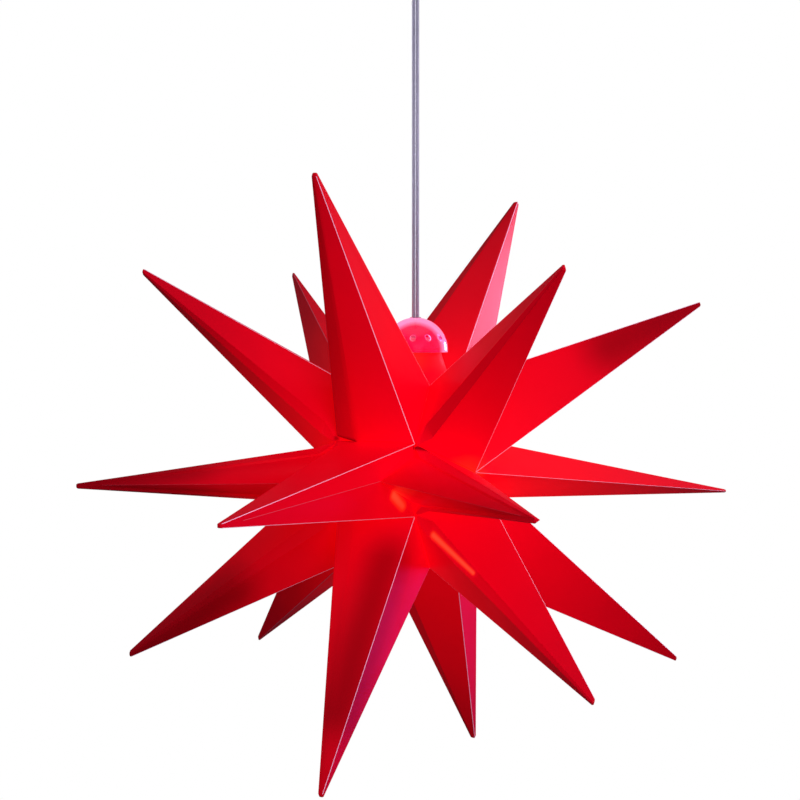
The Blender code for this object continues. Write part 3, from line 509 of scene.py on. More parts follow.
def lathe(name: str, profile: list[tuple[float, float]], sides: int) -> Thing:
    """Makes a turned ring about the Z axis by extruding a circle along a closed profile.

    Args:
        name: The object's name.
        profile: Points as (radius, height), none of them on the axis.
        sides: How many sides it has round the axis.

    Returns:
        The new object.
    """
    first_radius, first_height = profile[0]
    deselect()
    bpy.ops.mesh.primitive_circle_add(
        vertices=sides, radius=first_radius, location=(0, 0, first_height)
    )
    obj = bpy.context.object
    obj.name = name
    apply_place(obj)
    edit(obj)
    bpy.ops.mesh.select_all(action="SELECT")
    for (radius, height), (new_radius, new_height) in zip(profile, profile[1:]):
        rise = (0, 0, new_height - height)
        bpy.ops.mesh.extrude_region_move(TRANSFORM_OT_translate={"value": rise})
        share = new_radius / radius
        bpy.ops.transform.resize(value=(share, share, 1.0), center_override=(0, 0, new_height))
    pick(Kind.EDGES, lambda e: len(e.link_faces) == 1)
    bpy.ops.mesh.bridge_edge_loops()
    merge_all()
    face_outwards()
    leave_edit()
    return obj


def four_sided(points: Iterable[Vector]) -> Thing:
    """Makes a body with four sides from a three-sided cone, by moving its corners.

    Args:
        points: Where its four corners go.

    Returns:
        The new object.
    """
    deselect()
    bpy.ops.mesh.primitive_cone_add(vertices=3, radius1=10 * MM, depth=20 * MM, location=(0, 0, 0))
    obj = bpy.context.object
    edit(obj)
    for index, point in enumerate(points):
        mesh = bmesh.from_edit_mesh(obj.data)
        bpy.ops.mesh.select_all(action="DESELECT")
        mesh.verts.ensure_lookup_table()
        mesh.verts[index].select_set(True)
        bpy.ops.transform.translate(value=point - mesh.verts[index].co)
    face_outwards()
    leave_edit()
    return obj


@dataclass(frozen=True)
class MouldedRed:
    """Injection-moulded translucent red polystyrene with a satin face. Its pigment scatters the
    lamp's light in the wall. That glow is painted as emission, since no lamp lights the wall from
    inside: orange where the wall is nearest to the lamp and deep red further out. Painted shade
    darkens it along the soft corners of some spikes. Along a sharp corner it is pale from the
    stretched plastic, with a pale painted highlight. The lamp's place is given from the star's
    centre. Lit bands are painted light that makes the wall look nearer to the lamp, and shaded
    bands are painted shade."""

    body: str = "#E00020"
    pale: str = "#FFC4E4"
    # Painted glow: the emission's colours and strengths, from the lamp out to a tip.
    glow: tuple[tuple[float, str, float], ...] = (
        (0.00, "#FF482C", 0.90),
        (0.08, "#FF2A14", 0.60),
        (0.16, "#F80018", 0.47),
        (0.40, "#EC000C", 0.38),
        (0.60, "#E00008", 0.29),
        (0.80, "#D80000", 0.13),
        (1.00, "#C80000", 0.03),
    )
    # Strength of the pale painted highlight along a fold.
    painted_fold_highlight: float = 0.20
    # How much the painted shade along soft corners darkens the wall.
    corner_shade_depth: float = 0.48
    lamp: Point = (0.030, 0.0, 0.0)
    falloff: Point = (1.25, 0.85, 0.85)
    near: float = 0.0
    far: float = 0.300
    lit: tuple[Band, ...] = ()
    shaded: tuple[Band, ...] = ()
    ior: float = 1.59
    shine: float = 0.05
    fold_shine: float = 0.5
    roughness: float = 0.32
    roughness_change: float = 0.06
    cloud_size: float = 30 * MM
    cloud_detail: float = 2.0
    cloud_change: float = 0.07
    grain_size: float = 1.2 * MM
    grain_detail: float = 1.0
    grain_depth: float = 0.1 * MM
    grain_strength: float = 0.08

    def build(self, name: str, whitening_and_highlight: float = 0.0) -> Material:
        """Makes the material.

        Args:
            name: The material's name.
            whitening_and_highlight: From 0 on the flats to 1 at a sharp corner.

        Returns:
            The material.
        """
        surface = Surface(name)
        change = self.roughness_change
        span = (self.roughness - change, self.roughness + change)
        clouds = surface.vary_gloss(self.cloud_size, self.cloud_detail, span)
        scale = {"Scale": 1 / self.grain_size, "Detail": self.grain_detail}
        grain = surface.add("TexNoise", {"Vector": surface.place}, scale)
        surface.raise_grain(grain.outputs["Fac"], self.grain_strength, self.grain_depth)
        values = {"IOR": self.ior, "Emission Strength": 1.0, "Specular IOR Level": self.shine}
        # A fold is paled by stretched plastic and gets a pale painted highlight; elsewhere the wall
        # gets its painted glow.
        if whitening_and_highlight:
            values["Base Color"] = blend(self.body, self.pale, whitening_and_highlight)
            values["Emission Color"] = linear(self.pale, self.painted_fold_highlight * whitening_and_highlight)
            values["Specular IOR Level"] = self.fold_shine
        else:
            self.light_up(surface, self.lamp_distance(surface, clouds))
        set_inputs(surface.shader, values)
        return surface.material

    def lamp_distance(self, surface: Surface, clouds: Socket) -> Socket:
        """Gives how far a point is from the lamp, as the painted glow in the wall shows it.

        Args:
            surface: The material.
            clouds: Socket with soft patches, which make the distance uneven.

        Returns:
            Socket with the distance, from 0 at the lamp to 1 at a tip.
        """
        kind = "VectorMath"
        lamp = STAR_CENTRE + Vector(self.lamp)
        offset = surface.add(kind, {0: surface.place}, {1: lamp}, operation="SUBTRACT")
        offset = {0: offset.outputs["Vector"]}
        weighed = surface.add(kind, offset, {1: self.falloff}, operation="MULTIPLY")
        away = surface.add(kind, {0: weighed.outputs["Vector"]}, operation="LENGTH")
        span = {"From Min": self.near, "From Max": self.far}
        reach = surface.add("MapRange", {"Value": away.outputs["Value"]}, span)
        change = {1: 2 * self.cloud_change, 2: -self.cloud_change}
        uneven = surface.add("Math", {0: clouds}, change, operation="MULTIPLY_ADD")
        pair = {0: reach.outputs["Result"], 1: uneven.outputs["Value"]}
        spread = surface.add("Math", pair, operation="ADD", use_clamp=True)
        return surface.fade(spread.outputs["Value"], self.lit)

    def light_up(self, surface: Surface, distance: Socket) -> None:
        """Gives the wall its own colour and the lamp's painted glow, both dimmed by painted shade.

        Args:
            surface: The material.
            distance: Socket with the distance from the lamp, from 0 to 1.
        """
        glow = surface.add("ValToRGB", {"Fac": distance})
        set_ramp(glow, self.glow)
        thick = surface.add("Attribute", attribute_name=CORNER_SHADE)
        dims = {1: -self.corner_shade_depth, 2: 1.0}
        thin = surface.add("Math", {0: thick.outputs["Fac"]}, dims, operation="MULTIPLY_ADD")
        passed = surface.fade(thin.outputs["Value"], self.shaded)
        body = {0: linear(self.body)[:3]}
        tone = surface.add("VectorMath", {"Scale": passed}, body, operation="SCALE")
        pair = {0: glow.outputs["Color"], "Scale": passed}
        light = surface.add("VectorMath", pair, operation="SCALE")
        surface.feed("Base Color", tone.outputs["Vector"])
        surface.feed("Emission Color", light.outputs["Vector"])


@dataclass(frozen=True)
class ClearPlastic:
    """Clear injection-moulded polystyrene, or clear extruded PVC. The eye gets a gloss with a soft
    haze in it where it flowed, a faint tint and the wall behind through it. Where it looks along
    the wall, another tint can paint shade on it, and an emission can paint a glow that turns to a
    painted highlight at its rim."""

    tint: str = "#FFE4F2"
    roughness: float = 0.06
    transmission: float = 0.90
    ior: float = 1.59
    painted_glow: str = "#D8004A"
    painted_glow_strength: float = 0.0
    painted_rim_highlight: str = ""
    light_stops: tuple[float, float] = (0.24, 0.42)
    light_blend: float = 0.35
    face_share: float = 0.5
    painted_rim_shade: str = ""
    tint_stops: tuple[float, float] = (0.10, 0.60)
    tint_blend: float = 0.30
    haze_size: float = 6 * MM
    haze_detail: float = 2.0
    haze_span: tuple[float, float] = (0.6, 1.6)

    def build(self, name: str) -> Material:
        """Makes the material.

        Args:
            name: The material's name.

        Returns:
            The material.
        """
        surface = Surface(name)
        span = (self.roughness * share for share in self.haze_span)
        surface.vary_gloss(self.haze_size, self.haze_detail, span)
        values = {
            "Base Color": linear(self.tint),
            "IOR": self.ior,
            "Transmission Weight": self.transmission,
            "Emission Color": linear(self.painted_glow),
            "Emission Strength": self.painted_glow_strength,
        }
        set_inputs(surface.shader, values)
        # Painted shade: the base colour greys from where the wall faces the eye towards its rim.
        if self.painted_rim_shade:
            start, end = self.tint_stops
            stops = ((start, self.tint, 1.0), (end, self.painted_rim_shade, 1.0))
            surface.turn_colour("Base Color", self.tint_blend, *stops)
        # Painted glow, turning to a painted highlight towards the rim.
        if self.painted_rim_highlight:
            start, end = self.light_stops
            stops = ((start, self.painted_glow, self.face_share), (end, self.painted_rim_highlight, 1.0))
            surface.turn_colour("Emission Color", self.light_blend, *stops)
        return surface.material


@dataclass(frozen=True)
class PlainFinish:
    """A finish with one colour. Its grain makes the gloss uneven to the eye and stands up in a
    shallow bump."""

    colour: str
    roughness: float
    metallic: float = 0.0
    grain: float = 2 * MM
    relief: float = 0.03 * MM
    glow: str = "#000000"
    glow_strength: float = 0.0
    grain_detail: float = 3.0
    grain_strength: float = 0.2
    gloss_span: tuple[float, float] = (0.8, 1.2)

    def build(self, name: str) -> Material:
        """Makes the material.

        Args:
            name: The material's name.

        Returns:
            The material.
        """
        surface = Surface(name)
        span = (self.roughness * share for share in self.gloss_span)
        grain = surface.vary_gloss(self.grain, self.grain_detail, span)
        surface.raise_grain(grain, self.grain_strength, self.relief)
        values = {
            "Base Color": linear(self.colour),
            "Metallic": self.metallic,
            "Emission Color": linear(self.glow),
            "Emission Strength": self.glow_strength,
        }
        set_inputs(surface.shader, values)
        return surface.material


@dataclass(frozen=True)
class SoftLight:
    """Square soft light that faces the star. Its place is given from the star's centre, and its
    power in watts."""

    name: str
    place: Point
    side: float
    power: float
    colour: str
    in_gloss: bool = True

    def build(self) -> Thing:
        """Makes the light.

        Returns:
            The light.
        """
        data = bpy.data.lights.new(self.name, "AREA")
        data.size = self.side
        data.energy = self.power
        data.color = linear(self.colour)[:3]
        light = bpy.data.objects.new(self.name, data)
        bpy.context.scene.collection.objects.link(light)
        light.location = STAR_CENTRE + Vector(self.place)
        light.rotation_euler = Vector(self.place).to_track_quat("Z", "Y").to_euler()
        light.visible_camera = False
        light.visible_glossy = self.in_gloss
        return light


@dataclass
class Studio:
    """Pale seamless studio with a camera at the photograph's angle."""

    distance: float = 1.30
    lens: float = 69.4
    sensor: float = 36.0
    shift_x: float = -0.0194
    shift_y: float = 0.0906
    floor_height: float = -1.25
    floor_size: float = 60.0
    floor_colour: str = "#6E6A72"
    floor_roughness: float = 0.9
    white: str = "#FFFFFF"
    wash_colour: str = "#FFD8F4"
    wash: float = 0.28
    gloss_wash: float = 0.14
    overhead: float = 0.6
    overhead_edge: tuple[float, float] = (0.70, 0.90)
    lights: tuple[SoftLight, ...] = (
        SoftLight("key", (0.52, 0.36, 0.38), 0.5, 2.4, "#FFF0FF", False),
        SoftLight("front", (0.55, -0.62, 0.20), 0.5, 2.6, "#FFF0FF", False),
        SoftLight("low", (0.80, 1.25, -0.58), 0.8, 6.0, "#D050FF"),
    )
    rim: SoftLight = SoftLight("rim", (0.40, 1.52, 0.21), 0.3, 10.0, "#D4C8FF")
    rim_pieces: tuple[str, ...] = ("_back_shell", "cap_dome_clear", "neck_shell")

    def build(self) -> None:
        """Makes the camera, the floor, the world and the lights on all pieces."""
        self.make_camera()
        self.make_floor()
        self.make_world()
        for light in self.lights:
            light.build()

    def light_rims(self) -> None:
        """Makes the rim light, which a flag keeps off all but the back spikes, cap and neck."""
        lit = bpy.data.collections.new("rim_lit")
        for piece in bpy.context.scene.objects:
            if piece.name.endswith(self.rim_pieces):
                lit.objects.link(piece)
        self.rim.build().light_linking.receiver_collection = lit

    def make_camera(self) -> None:
        """Makes the camera that looks at the star's centre."""
        data = bpy.data.cameras.new("camera")
        data.lens = self.lens
        data.sensor_width = self.sensor
        data.shift_x = self.shift_x
        data.shift_y = self.shift_y
        camera = bpy.data.objects.new("camera", data)
        bpy.context.scene.collection.objects.link(camera)
        flat = math.cos(VIEW_ELEVATION)
        across, towards = math.sin(VIEW_AZIMUTH) * flat, -math.cos(VIEW_AZIMUTH) * flat
        back = Vector((across, towards, math.sin(VIEW_ELEVATION)))
        camera.location = STAR_CENTRE + back * self.distance
        camera.rotation_euler = back.to_track_quat("Z", "Y").to_euler()
        bpy.context.scene.camera = camera

    def make_floor(self) -> None:
        """Makes the wide floor, white where it is seen and dim in what it throws back."""
        deselect()
        bpy.ops.mesh.primitive_plane_add(size=self.floor_size, location=(0, 0, self.floor_height))
        floor = bpy.context.object
        floor.name = "floor"
        surface = Surface("pale_floor")
        colour = linear(self.floor_colour)
        set_inputs(surface.shader, {"Base Color": colour, "Roughness": self.floor_roughness})
        seen = surface.add("LightPath").outputs["Is Camera Ray"]
        white = surface.add("Emission", None, {"Color": linear(self.white)}).outputs["Emission"]
        mix = surface.add("MixShader", {0: seen, 1: surface.shader.outputs["BSDF"], 2: white})
        output = surface.tree.nodes["Material Output"]
        surface.tree.links.new(mix.outputs["Shader"], output.inputs["Surface"])
        dress(floor, surface.material)

    def make_world(self) -> None:
        """Makes the world: white behind the object and its clear parts, a dim even wash on it, and
        in its gloss a dimmer wash with a bright patch overhead."""
        world = bpy.data.worlds.new("studio")
        bpy.context.scene.world = world
        world.use_nodes = True
        tree = world.node_tree
        back = tree.nodes["Background"]
        set_inputs(back, {"Color": linear(self.wash_colour)})
        path = add_node(tree, "LightPath").outputs
        rays = {0: path["Is Camera Ray"], 1: path["Is Transmission Ray"]}
        seen = add_node(tree, "Math", rays, operation="MAXIMUM").outputs["Value"]
        direction = add_node(tree, "TexCoord").outputs["Generated"]
        upward = add_node(tree, "SeparateXYZ", {0: direction}).outputs["Z"]
        start, end = self.overhead_edge
        values = {
            "From Min": start,
            "From Max": end,
            "To Min": self.gloss_wash,
            "To Max": self.overhead,
        }
        overhead = add_node(
            tree, "MapRange", {"Value": upward}, values, interpolation_type="SMOOTHSTEP"
        )
        pair = {0: path["Is Glossy Ray"], 3: overhead.outputs["Result"]}
        wash = add_node(tree, "Mix", pair, {2: self.wash}, data_type="FLOAT")
        tree.links.new(wash.outputs[0], back.inputs["Strength"])
        plain = {"Color": linear(self.white), "Strength": 1.0}
        white = add_node(tree, "Background", None, plain)
        mix = add_node(tree, "MixShader", {0: seen, 1: back.outputs[0], 2: white.outputs[0]})
        tree.links.new(mix.outputs["Shader"], tree.nodes["World Output"].inputs["Surface"])
        bpy.context.scene.view_settings.view_transform = "Standard"


@dataclass
class TwinCord:
    """Clear flat twin lead, held taut between its grip and the cap: two round lobes with a web
    between them and a core in each."""

    low: float = -0.3528
    high: float = -0.0623
    width: float = 6.2 * MM
    lobe: float = 1.60 * MM
    core: float = 0.66 * MM
    web: float = 0.9 * MM
    sides: int = 32
    rows: int = 20
    end_inset: float = 0.5 * MM
    core_edge: float = 0.15 * MM
    smooth_angle: float = 40.0
    # Extruded soft PVC: clear along its middle, with painted shade greying it towards its rims.
    clear_pvc: ClearPlastic = ClearPlastic("#ECECF8", 0.10, 0.85, painted_rim_shade="#9898B4")
    # Tinned copper strands: a silver thread in each lobe, with a fine grain for its strands.
    tinned_copper: PlainFinish = PlainFinish("#B4B8CC", 0.35, 0.3, 0.5 * MM, 0.02 * MM)

    def build(self) -> None:
        """Makes the sheath and its two cores."""
        sheath = self.sheath()
        finish = self.tinned_copper.build("tinned_copper")
        cores = [self.strand(lobe, finish) for lobe in Lobe]

    def cylinder(self, lobe: Lobe, radius: float, inset: float = 0.0) -> Thing:
        """Makes a cylinder along the middle of a lobe.

        Args:
            lobe: The lobe.
            radius: The cylinder's radius.
            inset: How far it stops short of each end of the cord.

        Returns:
            The new object.
        """
        side = Vector((math.cos(VIEW_AZIMUTH), math.sin(VIEW_AZIMUTH), 0.0))
        offset = side * (self.width / 2 - self.lobe) * lobe.value
        deselect()
        bpy.ops.mesh.primitive_cylinder_add(
            vertices=self.sides,
            radius=radius,
            depth=self.high - self.low - 2 * inset,
            location=offset + Vector((0, 0, (self.low + self.high) / 2)),
        )
        cylinder = bpy.context.object
        apply_place(cylinder)
        return cylinder

    def strand(self, lobe: Lobe, finish: Material) -> Thing:
        """Makes the core of one lobe.

        Args:
            lobe: The lobe.
            finish: The core's material.

        Returns:
            The core.
        """
        core = self.cylinder(lobe, self.core, self.end_inset)
        round_edges(core, self.core_edge)
        dress(core, finish)
        return settle(core, f"cord_core_{lobe.name.lower()}", Body.PENDANT)

    def sheath(self) -> Thing:
        """Makes the clear sheath from its two lobes and the web between them.

        Returns:
            The sheath.
        """
        body, other = (self.cylinder(lobe, self.lobe) for lobe in Lobe)
        deselect()
        bpy.ops.mesh.primitive_cube_add(
            size=1.0,
            location=(0, 0, (self.low + self.high) / 2),
            rotation=(0, 0, VIEW_AZIMUTH),
            scale=(self.width - 2 * self.lobe, self.web, self.high - self.low),
        )
        web = bpy.context.object
        apply_place(web)
        for part in (other, web):
            combine(body, part, Combine.JOIN)
        smooth(body, self.smooth_angle)
        dress(body, self.clear_pvc.build("clear_pvc_sheath"))
        return settle(body, "cord_sheath", Body.PENDANT, ("cord",))


@dataclass
class DomedCap:
    """Clear domed cap with a row of round vents, moulded in one piece with a lip at its rim."""

    centre: float = -0.3770
    radius: float = 27.0 * MM
    wall: float = 2.0 * MM
    rim: float = 1.8 * MM
    hole: float = 4.9 * MM
    vent_radius: float = 2.6 * MM
    vent_height: float = 11.8 * MM
    vent_count: int = 12
    vent_turn: float = 0.8
    vent_sides: int = 28
    arc_steps: int = 24
    sides: int = 96
    edge: float = 0.25 * MM
    sharp_angle: float = 38.0
    # Clear styrene over the red star: pink through its middle from its tint and a crimson painted
    # glow, with a pale painted highlight at its rim.
    clear_styrene: ClearPlastic = ClearPlastic(
        "#FF3070", 0.06, 0.80, painted_rim_highlight="#FFB8F0", painted_glow_strength=0.60
    )

    def arc(self, radius: float, start: float, end: float) -> list[tuple[float, float]]:
        """Gives points of the dome's section.

        Args:
            radius: The arc's radius.
            start: Angle above the rim at which it starts.
            end: Angle at which it ends.

        Returns:
            Points as (radius, height).
        """
        points = []
        for i in range(self.arc_steps + 1):
            angle = math.radians(start + (end - start) * i / self.arc_steps)
            points.append((radius * math.cos(angle), self.centre + radius * math.sin(angle)))
        return points

    def build(self) -> None:
        """Makes the dome, cuts its vents and rounds their edges."""
        inner = self.radius - self.wall
        outer_top = math.degrees(math.acos(self.hole / self.radius))
        inner_top = math.degrees(math.acos(self.hole / inner))
        foot = self.centre - self.rim
        profile = [
            *self.arc(self.radius, outer_top, 0),
            (self.radius, foot),
            (inner, foot),
            *self.arc(inner, 0, inner_top),
        ]
        dome = lathe("cap_dome_clear", profile, self.sides)
        for i in range(self.vent_count):
            turn = math.tau * (i + self.vent_turn) / self.vent_count
            out = Vector((math.cos(turn), math.sin(turn), 0.0))
            deselect()
            bpy.ops.mesh.primitive_cylinder_add(
                vertices=self.vent_sides,
                radius=self.vent_radius,
                depth=self.radius,
                location=out * self.radius + Vector((0, 0, foot + self.vent_height)),
                rotation=out.to_track_quat("Z", "Y").to_euler(),
            )
            combine(dome, bpy.context.object, Combine.CUT)
        round_edges(dome, self.edge, self.sharp_angle)
        dress(dome, self.clear_styrene.build("clear_styrene_dome"))
        settle(dome, "cap_dome_clear", Body.PENDANT, ("cap_dome",))


@dataclass
class Valley:
    """Valley between the front or back ring spike and the side spike beside it. Each one's side
    there is folded along a line from a point that they share in the valley to its own tip. Places
    that a method gives are in the frame, and those in the fields are from the star's centre."""

    ring_node: str
    side_node: str
    top: Vector
    ring_tip: Vector
    side_tip: Vector
    shares: tuple[float, float]
    ring_cut: float
    side_cut: float = 10 * MM
    rise: float = 5.0 * MM
    gap: float = 0.3 * MM
    sunk: float = 0.6 * MM
    tip_drop: float = 12 * MM
    tip_out: float = 3.2 * MM
    side_middle: tuple[float, float] = (1.36, 0.80)

    @property
    def low(self) -> Vector:
        """The valley's lower end, which mirrors its upper one."""
        return Vector((self.top.x, self.top.y, -self.top.z))

    def ends(self, middle: Vector, cut: float) -> list[Vector]:
        """Gives the valley's ends, where a fold starts in a spike's side.

        Args:
            middle: Middle of the spike's foot.
            cut: How far the ends are cut back.

        Returns:
            The upper and the lower end, sunk a little towards the middle.
        """
        along = (self.low - self.top).normalized()
        ends = (self.top + along * cut, self.low - along * cut)
        return [STAR_CENTRE + end + (middle - end).normalized() * self.sunk for end in ends]

    def outward(self) -> Vector:
        """Gives the direction out of the ring spike's side.

        Returns:
            Unit vector.
        """
        out = (self.low - self.top).cross(self.ring_tip - self.top).normalized()
        return out if out.x * self.top.x > 0 else -out

    def meeting(self, rise: float) -> Vector:
        """Gives the point where the folds meet.

        Args:
            rise: How far it lies above the ring spike's side.

        Returns:
            The point.
        """
        high, down = self.shares
        place = self.top * high + self.low * down + self.ring_tip * (1 - high - down)
        return STAR_CENTRE + place + self.outward() * rise

    def point_in(self, spike_tip: Vector) -> Vector:
        """Gives a point inside a spike's solid tip."""
        return STAR_CENTRE + spike_tip * (1 - self.tip_drop / spike_tip.length)

    def ring_fold(self) -> list[Vector]:
        """Gives the fold on the ring spike's side.

        Returns:
            Its four corners, with the folds' meeting point third.
        """
        ends = self.ends(Vector((0, self.top.y, 0)), self.ring_cut)
        point = self.point_in(self.ring_tip) + self.outward() * self.tip_out
        return [*ends, self.meeting(self.rise), point]

    def side_fold(self) -> list[Vector]:
        """Gives the fold on the side spike's side.

        Returns:
            Its four corners, with the folds' meeting point third.
        """
        across, towards = self.side_middle
        middle = Vector((self.top.x * across, self.top.y * towards, 0))
        ends = self.ends(middle, self.side_cut)
        return [*ends, self.meeting(self.rise + self.gap), self.point_in(self.side_tip)]


def tip(latitude: float, azimuth: float, reach: float) -> Vector:
    """Gives a spike's tip from the star's centre.

    Args:
        latitude: Angle towards the right.
        azimuth: Angle from up towards the front.
        reach: Distance from the centre.

    Returns:
        The tip.
    """
    lat, turn = math.radians(latitude), math.radians(azimuth)
    flat = math.cos(lat)
    return Vector((math.sin(lat), -flat * math.sin(turn), flat * math.cos(turn))) * reach


@dataclass
class Shell:
    """The star's red shell: hollow spikes with crisp folded corners where their feet meet wide
    apart and soft flattened ones where they meet close together, neck and floor cover."""

    fold: float = 0.36 * MM
    soft_percent: float = 9.0
    long_edge: float = 0.10
    crease: float = 0.16 * MM
    crease_whitening_and_highlight: float = 0.12
    ring_apart: float = 24.0 * MM
    side_apart: float = 17.2 * MM
    ring_reach: float = 0.2865
    side_reach: float = 0.2795
    front_right: Point = (0.0335, -0.0620, 0.0295)
    front_left: Point = (-0.0415, -0.0620, 0.0295)
    back_right: Point = (0.0335, 0.0580, 0.0280)
    back_left: Point = (-0.0415, 0.0580, 0.0280)
    soft_cut: float = 10 * MM
    flat_angle: float = 0.2
    smooth_angle: float = 24.0
    neck_edge: float = 0.25 * MM
    neck_angle: float = 40.0
    # Spikes whose soft corners get painted shade.
    shaded_corners: tuple[str, ...] = (
        "ring_spike_top_front",
        "ring_spike_top_back",
        "ring_spike_bottom_back",
        "right_spike_top_front",
    )
    # Spikes whose crisp corners get the crease material, with less whitening and a fainter painted
    # highlight.
    dull_corners: tuple[str, ...] = ("left_spike_top_back", "left_spike_bottom_back")
    # The neck's painted glow is centred on the lamp unit, higher than the shell's.
    neck_red: MouldedRed = MouldedRed(lamp=(0.0, 0.0, 0.080), near=0.010, far=0.170)
    # The lit bands are painted light: two bright streaks and the side nearest to the lamp, all to
    # the front right. The shaded ones are painted shade: darkening round the two slots in the front
    # valleys' upper ends, and then shadows on the lower front, lower left, upper right and left
    # spikes.
    red: MouldedRed = MouldedRed(
        lit=(
            Band((0.0325, -0.0935, -0.0090), (0.0350, -0.0800, -0.0190), 0.011, 0.0),
            Band((0.0500, -0.0612, -0.0430), (0.0920, -0.0745, -0.0680), 0.0065, 0.0),
            Band((0.0700, -0.0300, 0.0020), (0.1050, -0.0260, 0.0060), 0.030, 0.45),
        ),
        shaded=(
            Band((-0.0405, -0.0600, 0.0310), (-0.0235, -0.0620, 0.0285), 0.0045, 0.3),
            Band((0.0275, -0.0620, 0.0268), (0.0460, -0.0620, 0.0250), 0.0036, 0.3),
            Band((0.0160, -0.0800, -0.0640), (0.0060, -0.1360, -0.1730), 0.038, 0.50),
            Band((-0.1150, -0.1100, -0.0950), (-0.1720, -0.1620, -0.1520), 0.038, 0.50),
            Band((0.1450, 0.0750, 0.1080), (0.2050, 0.1250, 0.1450), 0.045, 0.50),
            Band((-0.1400, -0.1250, -0.0040), (-0.2097, -0.1848, -0.0052), 0.040, 0.62),
        ),
    )

    def build(self) -> None:
        """Dresses every piece of the shell."""
        self.skin = self.red.build("moulded_red")
        self.edge = self.red.build("moulded_red_fold", 1.0)
        self.faint = self.red.build("moulded_red_crease", self.crease_whitening_and_highlight)
        for node in frame["nodes"]:
            if "_spike_" in node:
                self.spike(node)
        neck = self.neck_red.build("moulded_red_neck")
        for node, skin in (("neck", neck), ("floor_cover", self.skin)):
            piece = copy_node(node)
            round_edges(piece, self.neck_edge, self.neck_angle)
            dress(piece, skin)
            settle(piece, f"{node}_shell", Body.SHELL, (node,))

    def valleys(self) -> list[Valley]:
        """Gives the four valleys beside the front and back ring spikes.

        Returns:
            The valleys.
        """
        front, back = tip(1.0, 92.6, self.ring_reach), tip(0.0, -97.0, self.ring_reach)
        soft = self.soft_cut
        rows = (
            ("front", "right", self.front_right, front, (45.8, 92.2), (0.50, 0.27), 0.0),
            ("front", "left", self.front_left, front, (-48.6, 91.6), (0.42, 0.35), soft),
            ("back", "right", self.back_right, back, (49.4, -96.8), (0.39, 0.39), 0.0),
            ("back", "left", self.back_left, back, (-45.0, -97.0), (0.39, 0.39), soft),
        )
        valleys = []
        for end, side, top, ring_tip, angles, shares, cut in rows:
            nodes = (f"ring_spike_{end}", f"{side}_spike_{end}")
            side_tip = tip(*angles, self.side_reach)
            valleys.append(Valley(*nodes, Vector(top), ring_tip, side_tip, shares, cut))
        return valleys

    def fold_sides(self, obj: Thing, node: str) -> None:
        """Folds the sides of a spike that face a valley, and finishes each fold's line.

        Args:
            obj: The spike's piece.
            node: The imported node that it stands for.
        """
        for valley in self.valleys():
            if node == valley.ring_node:
                corners = valley.ring_fold()
            elif node == valley.side_node:
                corners = valley.side_fold()
            else:
                continue
            combine(obj, four_sided(corners), Combine.JOIN)
            edit(obj)
            merge_all()
            bpy.ops.mesh.dissolve_limited(angle_limit=math.radians(self.flat_angle))
            meeting = corners[2]
            pick(
                Kind.EDGES,
                lambda e: e.calc_length() > self.long_edge
                and min((v.co - meeting).length for v in e.verts) < MM,
            )
            bevel_picked(self.crease)
            finish_picked(obj, CREASE_INDEX)
            leave_edit()

    def spike(self, node: str) -> None:
        """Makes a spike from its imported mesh, with its corners finished.

        Args:
            node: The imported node.
        """
        obj = copy_node(node)
        crisp_edge = self.faint if node in self.dull_corners else self.edge
        dress(obj, self.skin, crisp_edge, self.faint, self.skin)
        edit(obj)
        feet = self.feet(bmesh.from_edit_mesh(obj.data))
        apart = self.ring_apart if node.startswith("ring") else self.side_apart
        soft = [foot for foot in feet if self.nearest(foot, feet) < apart]
        crisp = [foot for foot in feet if foot not in soft]
        LOG.info("%s: %d crisp and %d soft corners", node, len(crisp), len(soft))
        # Painted shade: faces touching more than one soft corner are marked, to be darkened.
        if node in self.shaded_corners:
            pick(Kind.FACES, lambda f: sum(self.is_corner(e, soft) for e in f.edges) > 1)
            finish_picked(obj, CORNER_SHADE_INDEX)
        pick(Kind.EDGES, lambda e: self.is_corner(e, soft))
        bpy.ops.mesh.bevel(
            offset_type="PERCENT",
            offset_pct=self.soft_percent,
            segments=ROUND_STEPS,
            profile=0.5,
            affect="EDGES",
            clamp_overlap=True,
        )
        pick(Kind.EDGES, lambda e: self.is_corner(e, crisp))
        bevel_picked(self.fold)
        finish_picked(obj, FOLD_INDEX)
        leave_edit()
        self.fold_sides(obj, node)
        self.mark_corner_shade(obj)
        smooth(obj, self.smooth_angle)
        settle(obj, f"{node}_shell", Body.SHELL, (node,))

    def mark_corner_shade(self, obj: Thing) -> None:
        """Marks the painted shade at each point, from 0 on the flats to 1 along a shaded soft
        corner.

        Args:
            obj: The spike's piece. Its faces with the shaded corners' number get the flats' one.
        """
        counts = [[0, 0] for _ in obj.data.vertices]
        for face in obj.data.polygons:
            if face.material_index not in (FOLD_INDEX, CREASE_INDEX):
                for index in face.vertices:
                    counts[index][0] += 1
                    counts[index][1] += face.material_index == CORNER_SHADE_INDEX
            if face.material_index == CORNER_SHADE_INDEX:
                face.material_index = 0
        marks = obj.data.attributes.new(CORNER_SHADE, "FLOAT", "POINT")
        for mark, (total, thick) in zip(marks.data, counts):
            mark.value = thick / total if total else 0.0

    def is_outside(self, edge: Edge) -> bool:
        """Says whether an edge runs along a corner of the spike's outside."""
        long = edge.calc_length() > self.long_edge
        return long and len(edge.link_faces) == 2 and edge.is_convex

    def is_corner(self, edge: Edge, feet: list[Point]) -> bool:
        """Says whether an edge runs along one of the corners with these feet."""
        return self.is_outside(edge) and self.foot(edge) in feet

    def foot(self, edge: Edge) -> Point:
        """Gives a corner's end that is nearer to the core, rounded so that it can be compared."""
        end = min(edge.verts, key=lambda v: (v.co - STAR_CENTRE).length)
        return tuple(round(x, 5) for x in end.co)

